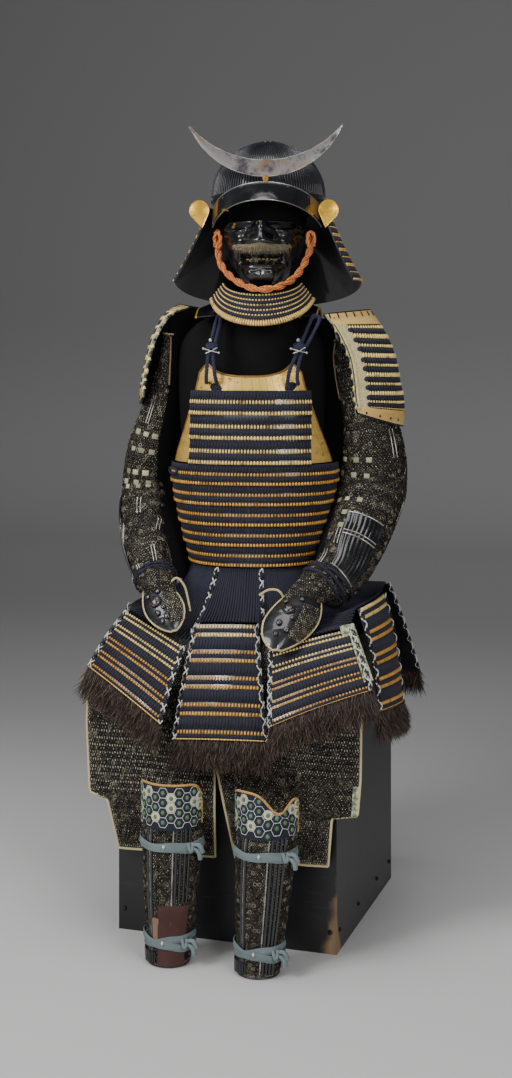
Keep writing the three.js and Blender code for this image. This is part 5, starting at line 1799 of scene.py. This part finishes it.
def build_hand(side):
    shell = hand_surface(side)
    sleeve = sleeve_surface(side, 0, 1)
    plate = wall(f"hand_plate_{side}", shell, 36, 36, 2, "dull_lacquer",
                 swell=lambda u, v: 1.4 * bell(sin(9 * v), 0.25) * (1 - (2 * u - 1) ** 4))
    dress(plate, "dark_iron", f"hand_guard_{side}")

    def cover(u, v):
        start = sleeve.at((lerp(-105, 105, u) / 360) % 1, 0.97)
        end = shell.off(lerp(0.02, 0.98, u), lerp(0.1, 0.3, u) if side == "left" else 0.12, -2.5)
        lift = Vector((0, -9, 7)) * sin(pi * v)
        return start.lerp(end, v) / MM + TORSO.to_3x3() @ lift
    back = Surface(cover)
    cloth = wall(f"hand_cloth_{side}", back, 30, 20, 2, "mail")
    dress(cloth, "mail_cloth")
    mail(f"hand_{side}", back, 7, "mail_cloth", edge=(0.04, 0.96))
    low, high = (0.56, 0.97) if side == "left" else (0.6, 0.97)
    inset = part_of(shell, low, high, 0.24, 0.84, 0.4)
    dress(wall(f"hand_net_{side}", inset, 12, 16, 1, "mail", out=1), "mail_cloth")
    mail(f"hand_net_{side}", inset, 6.5, "mail_cloth", edge=(0.06, 0.94))
    if side == "right":
        winds = [back.line((0.02, v), (0.98, v + 0.12), 3.4, 24) for v in (0.06, 0.24)]
        cord = twisted(winds, *WRIST_TWIST)
        edging("cuff_cords_right", cord, 2.3, "navy", "navy_lacing", 6)
    edge = (shell.line((0, 0), (0, 1), -1, 24) + shell.line((0, 1), (1, 1), -1, 8)[1:]
            + shell.line((1, 1), (1, 0), -1, 24)[1:])
    edging(f"hand_piping_{side}", [edge], 2.2, "piping", "dark_iron")
    (u, v), steps = HAND_LOOPS[side]
    start = shell.at(u, v)
    loop = [start] + [start + TORSO.to_3x3() @ (Vector(step) * MM) for step in steps]
    edging(f"hand_loop_{side}", [through(loop, 6)], 2.2, "piping", "dark_iron")
    boss = Cells()
    for u, v, size in ((0.36, 0.36, 27), (0.36, 0.36, 14), (0.2, 0.2, 11), (0.52, 0.16, 12),
                       (0.3, 0.6, 13), (0.5, 0.72, 13), (0.3, 0.78, 10), (0.5, 0.52, 10)):
        low = -1 if size > 20 else 1.2
        boss.sew(shell, u, v, low, (size, size, size * 0.3))
    boss.fill(f"hand_bosses_{side}", "stud", "boss", "dark_iron")


# ---- skirt ----
TASSET_LAMES = 4.38
# Left and right ends of each tasset's head and foot; `slack` is how far its lacing sags.
TASSETS = {
    "front": {"top": ((-58, -222, 590), (64, -222, 596)), "low": ((-74, -300, 391), (108, -300, 400)),
              "bow": 8, "slack": 14},
    "front_right": {"top": ((98, -252, 557), (242, -208, 596)),
                    "low": ((118, -326, 432), (298, -282, 502)), "bow": 10, "slack": 38},
    "side_right": {"top": ((244, -168, 626), (228, 96, 614)),
                   "low": ((290, -200, 446), (262, 110, 400)), "bow": 16, "slack": 46},
    "back_right": {"top": ((212, 216, 616), (7, 238, 598)),
                   "low": ((262, 276, 430), (9, 300, 404)), "bow": 10, "slack": 18},
    "back_left": {"top": ((-7, 238, 598), (-212, 216, 616)),
                  "low": ((-9, 300, 404), (-262, 276, 430)), "bow": 10, "slack": 18},
    "side_left": {"top": ((-228, 96, 606), (-226, -136, 606)),
                  "low": ((-262, 110, 400), (-268, -158, 448)), "bow": 10, "slack": 44},
    "front_left": {"top": ((-206, -206, 604), (-70, -252, 551)),
                   "low": ((-254, -274, 508), (-88, -326, 423)), "bow": 10, "slack": 24},
}


def tasset_surface(tasset):
    (top_left, top_right), (low_left, low_right) = (
        [Vector(p) for p in tasset[edge]] for edge in ("top", "low")
    )
    out = (low_left - top_left).cross(top_right - top_left).normalized()

    def point(u, v):
        bow = tasset["bow"] * 4 * u * (1 - u) * (0.35 + 0.65 * v) + 7 * sin(pi * v)
        return top_left.lerp(top_right, u).lerp(low_left.lerp(low_right, u), v) + out * bow
    return Surface(point)


def fur_surface(panel):
    def point(u, v):
        start = panel.at(u, 1) / MM
        slope = (start - panel.at(u, 0.7) / MM).normalized()
        fall = slope.lerp(Vector((0, 0, -1)), 0.55 * v).normalized()
        return start + fall * (2.5 + 58 * v)
    return Surface(point)


def lacing_surface(tasset, panel):
    def point(u, v):
        low = panel.at(u, 0) / MM
        turn = degrees(atan2(low.x + 10, -low.y)) - 12
        waist = (TORSO @ (cuirass_point(turn, WAIST_Z - 3, -2) * MM)) / MM
        sag = Vector((0, 0, -tasset["slack"] * sin(pi * v)))
        return waist.lerp(low, v * 0.95) + sag
    return Surface(point)


def white_braid(name, line, slot, size=1.8):
    """A braided edge: white and navy strands that cross each other."""
    wound = strands(line, 4, 3.6 * MM, 0.03)
    back = strands(line, 4, 3.6 * MM, -0.03)
    white = cords(name + "_white", [wound[0], back[0]], size * 0.68, "white", 6)
    navy = cords(name + "_navy", [wound[2], back[2]], size * 0.7, "navy", 6)
    dress(joined(name, [white, navy]), slot)


def build_skirt():
    names = list(TASSETS)
    panels = {name: tasset_surface(tasset) for name, tasset in TASSETS.items()}
    hangers = []
    for k, (name, tasset) in enumerate(TASSETS.items()):
        panel = panels[name]
        cream = 0.45 if name in ("front_left", "front_right") else 0.22
        laced(f"tasset_{name}", panel, TASSET_LAMES, "tasset", f"tasset_{name}",
              lambda u, v: 0.85 if v < cream else 0.15, edge=(0.03, 0.97), cols=20)
        for side, u in (("left", 0.012), ("right", 0.988)):
            rise = 5.5 if (name, side) == ("front_right", "right") else 1.2
            line = panel.line((u, 0), (u, 1), rise, 60)
            white_braid(f"tasset_braid_{side}_{name}", line, "laced_lames")
        if name == "front_right":
            patches = (("tasset_brocade", (0.945, 1.035, -0.05, 0.86)),
                       ("tasset_patch", (0.86, 1.03, -0.08, 0.1)))
            for title, spread in patches:
                strip = part_of(panel, *spread, 1.0)
                trim = wall(title, strip, 8, 40, 2, "brocade", out=2,
                            swell=lambda u, v: 1.6 * sin(19 * v + 4 * u) * (1 - v))
                dress(trim, "laced_lames")
        hem = panel.line((0, 0.995), (1, 0.995), 0.8, 24)
        edging(f"tasset_hem_{name}", [hem], 1.5, "end_gold", "laced_lames", 6)
        fur = fur_surface(panel)
        root = wall(f"fur_root_{name}", fur, 24, [v * 0.7 - 0.04 for v in shares(6)], 5, "fur")
        dress(root, "brown_fur", f"fur_{name}")

        def way(_, normal):
            slope = (panel.at(0.5, 1) - panel.at(0.5, 0.7)).normalized()
            return slope * 0.55 + Vector((0, 0, -0.5)) + normal * 0.33
        add_flow(root, way)
        dress(grow(f"fur_hair_{name}", root, 27, 95000, 0.36, 5 + k, "fur"), "brown_fur")
        shell = lacing_surface(tasset, panel)
        following = names[(k + 1) % len(names)]
        ahead = lacing_surface(TASSETS[following], panels[following])
        places, _ = shell.even(0.5, 5)
        lines = [shell.line((u, 0), (u, 1), -1, 10) for u in places]
        last, first = shell.line((1, 0), (1, 1), -1, 10), ahead.line((0, 0), (0, 1), -1, 10)
        gap = (last[8] - first[8]).length / MM
        count = max(2, round(gap / 6))
        for i in range(count):
            share = (i + 0.5) / count
            lines.append([a.lerp(b, share) for a, b in zip(last, first)])
        hangers += lines
        if name in ("front_left", "front"):
            line = [a.lerp(b, 0.5) + Vector((0, -0.004, 0)) for a, b in zip(last, first)]
            white_braid(f"waist_braid_{name}", through(line, 6), "navy_lacing", 2.0)
    dress(cords("waist_silk", hangers, 2.3, "navy", 4), "navy_lacing", "waist_lacing")


# ---- thigh guards ----
THIGH_COLUMNS = "y z left right"
THIGH = {
    "left": table(
        THIGH_COLUMNS,
        (-130, 562, -150, -14), (-222, 562, -200, -14), (-236, 546, -226, -14), (-240, 470, -268, -14),
        (-242, 400, -271, -14), (-244, 264, -264, -14), (-244, 256, -228, -14), (-245, 164, -203, -12),
    ),
    "right": table(
        THIGH_COLUMNS,
        (-130, 562, -9, 150), (-222, 562, -9, 200), (-236, 546, -9, 226), (-240, 470, -9, 266),
        (-242, 330, -9, 265), (-244, 264, 6, 260), (-244, 256, 8, 212), (-245, 168, 29, 205),
    ),
}


def thigh_surface(side):
    def point(u, v):
        row = row_at(THIGH[side], "at", v, straight=True)
        wave = 3 * sin(pi * (3 * u + 0.3)) if row["z"] < 500 else 0
        return Vector((lerp(row["left"], row["right"], u), row["y"] - wave, row["z"]))
    return Surface(point)


def build_thigh_guard(side):
    shell = thigh_surface(side)
    apron = wall(f"thigh_cloth_{side}", shell, 30, 54, 2.5, "mail")
    dress(apron, "mail_cloth", f"thigh_guard_{side}")
    mail(f"thigh_{side}", shell, 8.2, "mail_cloth", low=0.42, high=0.985, edge=(0.03, 0.97))
    edges = [shell.line((u, 0.02), (u, 1), 0, 60) for u in (0.0, 1.0)]
    edges.append(shell.line((0, 1), (1, 1), 0, 20))
    edging(f"thigh_binding_{side}", edges, 2.3, "leather", "mail_cloth")
    if side == "right":
        strip = part_of(shell, 0.955, 0.995, 0.6, 0.735, 0.5)
        dress(wall("thigh_brocade", strip, 4, 20, 2, "brocade", out=2), "mail_cloth")


# ---- shins, knees and ties ----
SHIN_COLUMNS = "z x half_width half_depth"
SHIN = {
    "left": table(
        SHIN_COLUMNS,
        (262, -60, 52, 46), (225, -62, 53, 46), (130, -64, 48, 44), (55, -66, 42, 40), (2, -68, 38, 38),
    ),
    "right": table(
        SHIN_COLUMNS,
        (262, 120, 52, 46), (225, 116, 52, 46), (130, 110, 47, 44), (55, 105, 41, 40), (2, 102, 38, 38),
    ),
}
SHIN_Y, SHIN_SPREAD = -336, 112
KNEE = {"low": 250, "high": 331, "out": 5, "spread": 84}


def shin_point(side, turn, z, out=0.0):
    row = row_at(SHIN[side], "z", min(max(z, 2), 262))
    place = oval(turn, row["x"], SHIN_Y, z, row["half_width"] + out, row["half_depth"] + out)
    return place


def knee_surface(side):
    def point(u, v):
        across = 2 * u - 1
        cut = 34 * abs(across) ** 9
        if side == "right":
            cut = 16 * abs(across) ** 4 + 34 * bell(across - 0.42, 0.3) * (1 - v)
        z = lerp(KNEE["high"] - cut, KNEE["low"] + 8 * across * across, v)
        return shin_point(side, KNEE["spread"] * across, z, KNEE["out"])
    return Surface(point)


def build_shin_guard(side):
    def point(u, v):
        return shin_point(side, lerp(-SHIN_SPREAD, SHIN_SPREAD, u), lerp(262, 2, v))
    shell = Surface(point)
    guard = wall(f"shin_cloth_{side}", shell, 50, 30, 3, "dark_mail")
    dress(guard, "splinted_iron", f"shin_guard_{side}")
    for name, low, high in (("outer", 0.13, 0.32), ("middle", 0.42, 0.58), ("inner", 0.76, 0.97)):
        mail(f"shin_{name}_{side}", shell, 7.0, "splinted_iron", 0.02, 0.97, (low, high))
    bars = [shell.line((u, 0.03), (u, 0.55 if side == "left" and 0.44 < u < 0.78 else 0.97), 1.2, 20)
            for u in (0.05, 0.1, 0.345, 0.385, 0.62, 0.66, 0.7, 0.74)]
    edging(f"shin_bars_{side}", bars, 2.8, "lacquer", "splinted_iron")
    lines = [shell.line((u, 0.02), (u, 0.97), 1.6, 60) for u in (0.12, 0.37, 0.59)]
    chain = twisted(lines, 2, 1.0 * MM, 0.01)
    edging(f"shin_chain_{side}", chain, 0.9, "bright", "splinted_iron", 5)
    rims = [shell.line((1, 0), (1, 1), -1, 20)] + [shell.line((0, v), (1, v), -1, 40) for v in (0, 1)]
    edging(f"shin_binding_{side}", rims, 1.9, "dull_lacquer", "splinted_iron", 6)
    edge = [shell.line((0.012, 0), (0.012, 0.98), -0.6, 20)]
    edging(f"shin_piping_{side}", edge, 1.3, "white", "splinted_iron", 6)
    fringe = []
    for k in range(14):
        u = lerp(0.14, 0.42, k / 13)
        fringe.append(shell.line((u, 0.9), (u + 0.004 * sin(5 * k), 0.98 + 0.012 * cos(3 * k)), 4, 5))
    edging(f"shin_fringe_{side}", fringe, 1.3, "dull_lacquer", "splinted_iron", 5)
    if side == "left":
        for name, finish, low, high, top, foot in (
            ("leather", "patch", 0.46, 0.76, 0.57, 0.99), ("tan", "tan", 0.4, 0.47, 0.66, 0.86),
        ):
            piece = part_of(shell, low, high, top, foot, 3.6)
            cover = wall(f"shin_{name}", piece, 16, 24, 1.6, finish,
                         swell=lambda u, v: 0.5 * sin(9 * u + 4 * v) + 0.8 * bell(v - 0.1, 0.1))
            dress(cover, "splinted_iron")


def build_knee(side):
    knee = knee_surface(side)
    pad = wall(f"knee_cloth_{side}", knee, 48, 24, 2, "hexagon")
    dress(pad, "hex_brocade", f"knee_plate_{side}")
    cells, bare, dots, worn = Cells(), Cells(), Cells(), random.Random(7)
    radius = 10.1
    width = knee.width / MM

    def spot(x, z):
        """The (u, v) of a place on the pad, or None off it."""
        u = 0.5 + x / width
        if not 0.01 < u < 0.99:
            return None
        top, foot = knee.at(u, 0).z / MM, knee.at(u, 1).z / MM
        v = (top - z) / (top - foot)
        return (u, v) if 0.02 < v < 0.985 else None

    seams = []
    for i in range(-7, 8):
        for j in range(-1, 6):
            x = 1.5 * radius * i
            z = KNEE["high"] + 4 - sqrt(3) * radius * (j + 0.5 * (i % 2))
            corners = [spot(x + radius * cos(a), z + radius * sin(a))
                       for a in np.linspace(0, pi, 4)]
            for a, b in zip(corners, corners[1:]):
                if a and b:
                    seams.append(knee.line(a, b, 0.9, 3))
            shade, tall = worn.random(), worn.random()
            middle = spot(x, z)
            if not (middle and spot(x, z + 5) and spot(x, z - 5) and abs(2 * middle[0] - 1) < 0.95):
                continue
            axes = knee.axes(*middle)
            size = radius * 1.8
            (cells if shade < 0.78 else bare).add(knee.off(*middle, 0), axes, (size, size, 1.2), tall)
            dots.add(knee.off(*middle, 0.8), axes, (8.4, 9.4, 2.4), tall)
    cells.fill(f"knee_hexagons_{side}", "hexagon", "hexagon", "hex_brocade")
    bare.fill(f"knee_worn_{side}", "hexagon", "worn", "hex_brocade")
    dots.fill(f"knee_dots_{side}", "stud", "dot", "hex_brocade")
    edging(f"knee_seams_{side}", seams, 0.6, "white", "hex_brocade", 4)
    rim = knee.line((0, 0.5), (0, 0), 0, 6) + knee.line((0, 0), (1, 0), 0, 48)[1:]
    rim += knee.line((1, 0), (1, 1), 0, 12)[1:]
    edging(f"knee_piping_{side}", [rim], 2.2, "ochre", "hex_brocade")


def build_tie(side, name, low, high):
    """Two turns of cloth that cross, a knot at the right and its two ends."""
    middle = (low + high) / 2
    rise = 3 if name == "upper" else 9
    bands, area = [], 0
    for k, phase in enumerate((0.4, 3.3)):
        def point(u, v):
            turn = tau * u
            z = middle + rise * sin(turn + phase) + 1.2 * sin(5 * turn) + lerp(6.8, -6.8, v)
            return shin_point(side, 360 * u, z, 4.6 + 1.7 * k)
        band = Surface(point, closed=True)
        bands.append(wall(f"tie_turn_{k}", band, 60, 6, 1.3, "tie_cloth",
                          swell=lambda u, v: 1.5 * sin(pi * v) * (
                              0.7 + 0.4 * sin(34 * u + 7 * v))))
        area += band.width * band.height
    piece = joined(f"tie_cloth_{name}_{side}", bands)
    dress(piece, "pale_tie", f"tie_{name}_{side}")
    at = shin_point(side, 52, middle, 8)
    knot = [at + Vector((4 * cos(a), 4 * sin(a), 6 * sin(2 * a + 0.5)))
            for a in np.linspace(0, tau, 13)]
    ends = [
        [at, at + Vector((9, 2, -3)), at + Vector((15, 5, -11)), at + Vector((16, 7, -21))],
        [at, at + Vector((7, 3, 5)), at + Vector((15, 6, 3)), at + Vector((20, 9, -9))],
    ]
    knots = [cords("tie_wrap", [through(placed(knot), 5)], 3.4, "tie_cloth", 8)]
    for k, line in enumerate(ends):
        line = through(placed(line), 5)
        widths = [lerp(2.4, 4.6, bell(i / (len(line) - 1) - 0.8, 0.5)) for i in range(len(line))]
        knots.append(cords(f"tie_end_{k}", [line], widths, "tie_cloth", 8))
    dress(joined(f"tie_knot_{name}_{side}", knots), "pale_tie")
    stud = Cells()
    place = shin_point(side, 4, middle + 3, 7)
    stud.add(place * MM, FACING, (5, 8, 4))
    stud.fill(f"tie_stud_{name}_{side}", "stud", "white", "pale_tie")


def build_shin(side):
    build_shin_guard(side)
    build_knee(side)
    for name, low, high in (("upper", 206, 232), ("lower", 32, 58)):
        build_tie(side, name, low, high)


build_studio()
build_box()
build_stand()
build_bowl()
build_peak()
build_crest()
build_flaps()
build_mask()
build_moustache()
build_chin_cord()
build_head_lames()
build_cuirass()
build_straps()
for build in (build_shoulder_guard, build_sleeve, build_hand):
    for side in SIDES:
        build(side)
build_skirt()
for build in (build_thigh_guard, build_shin):
    for side in SIDES:
        build(side)
for part in UNITS.values():
    bpy.data.objects.remove(part)
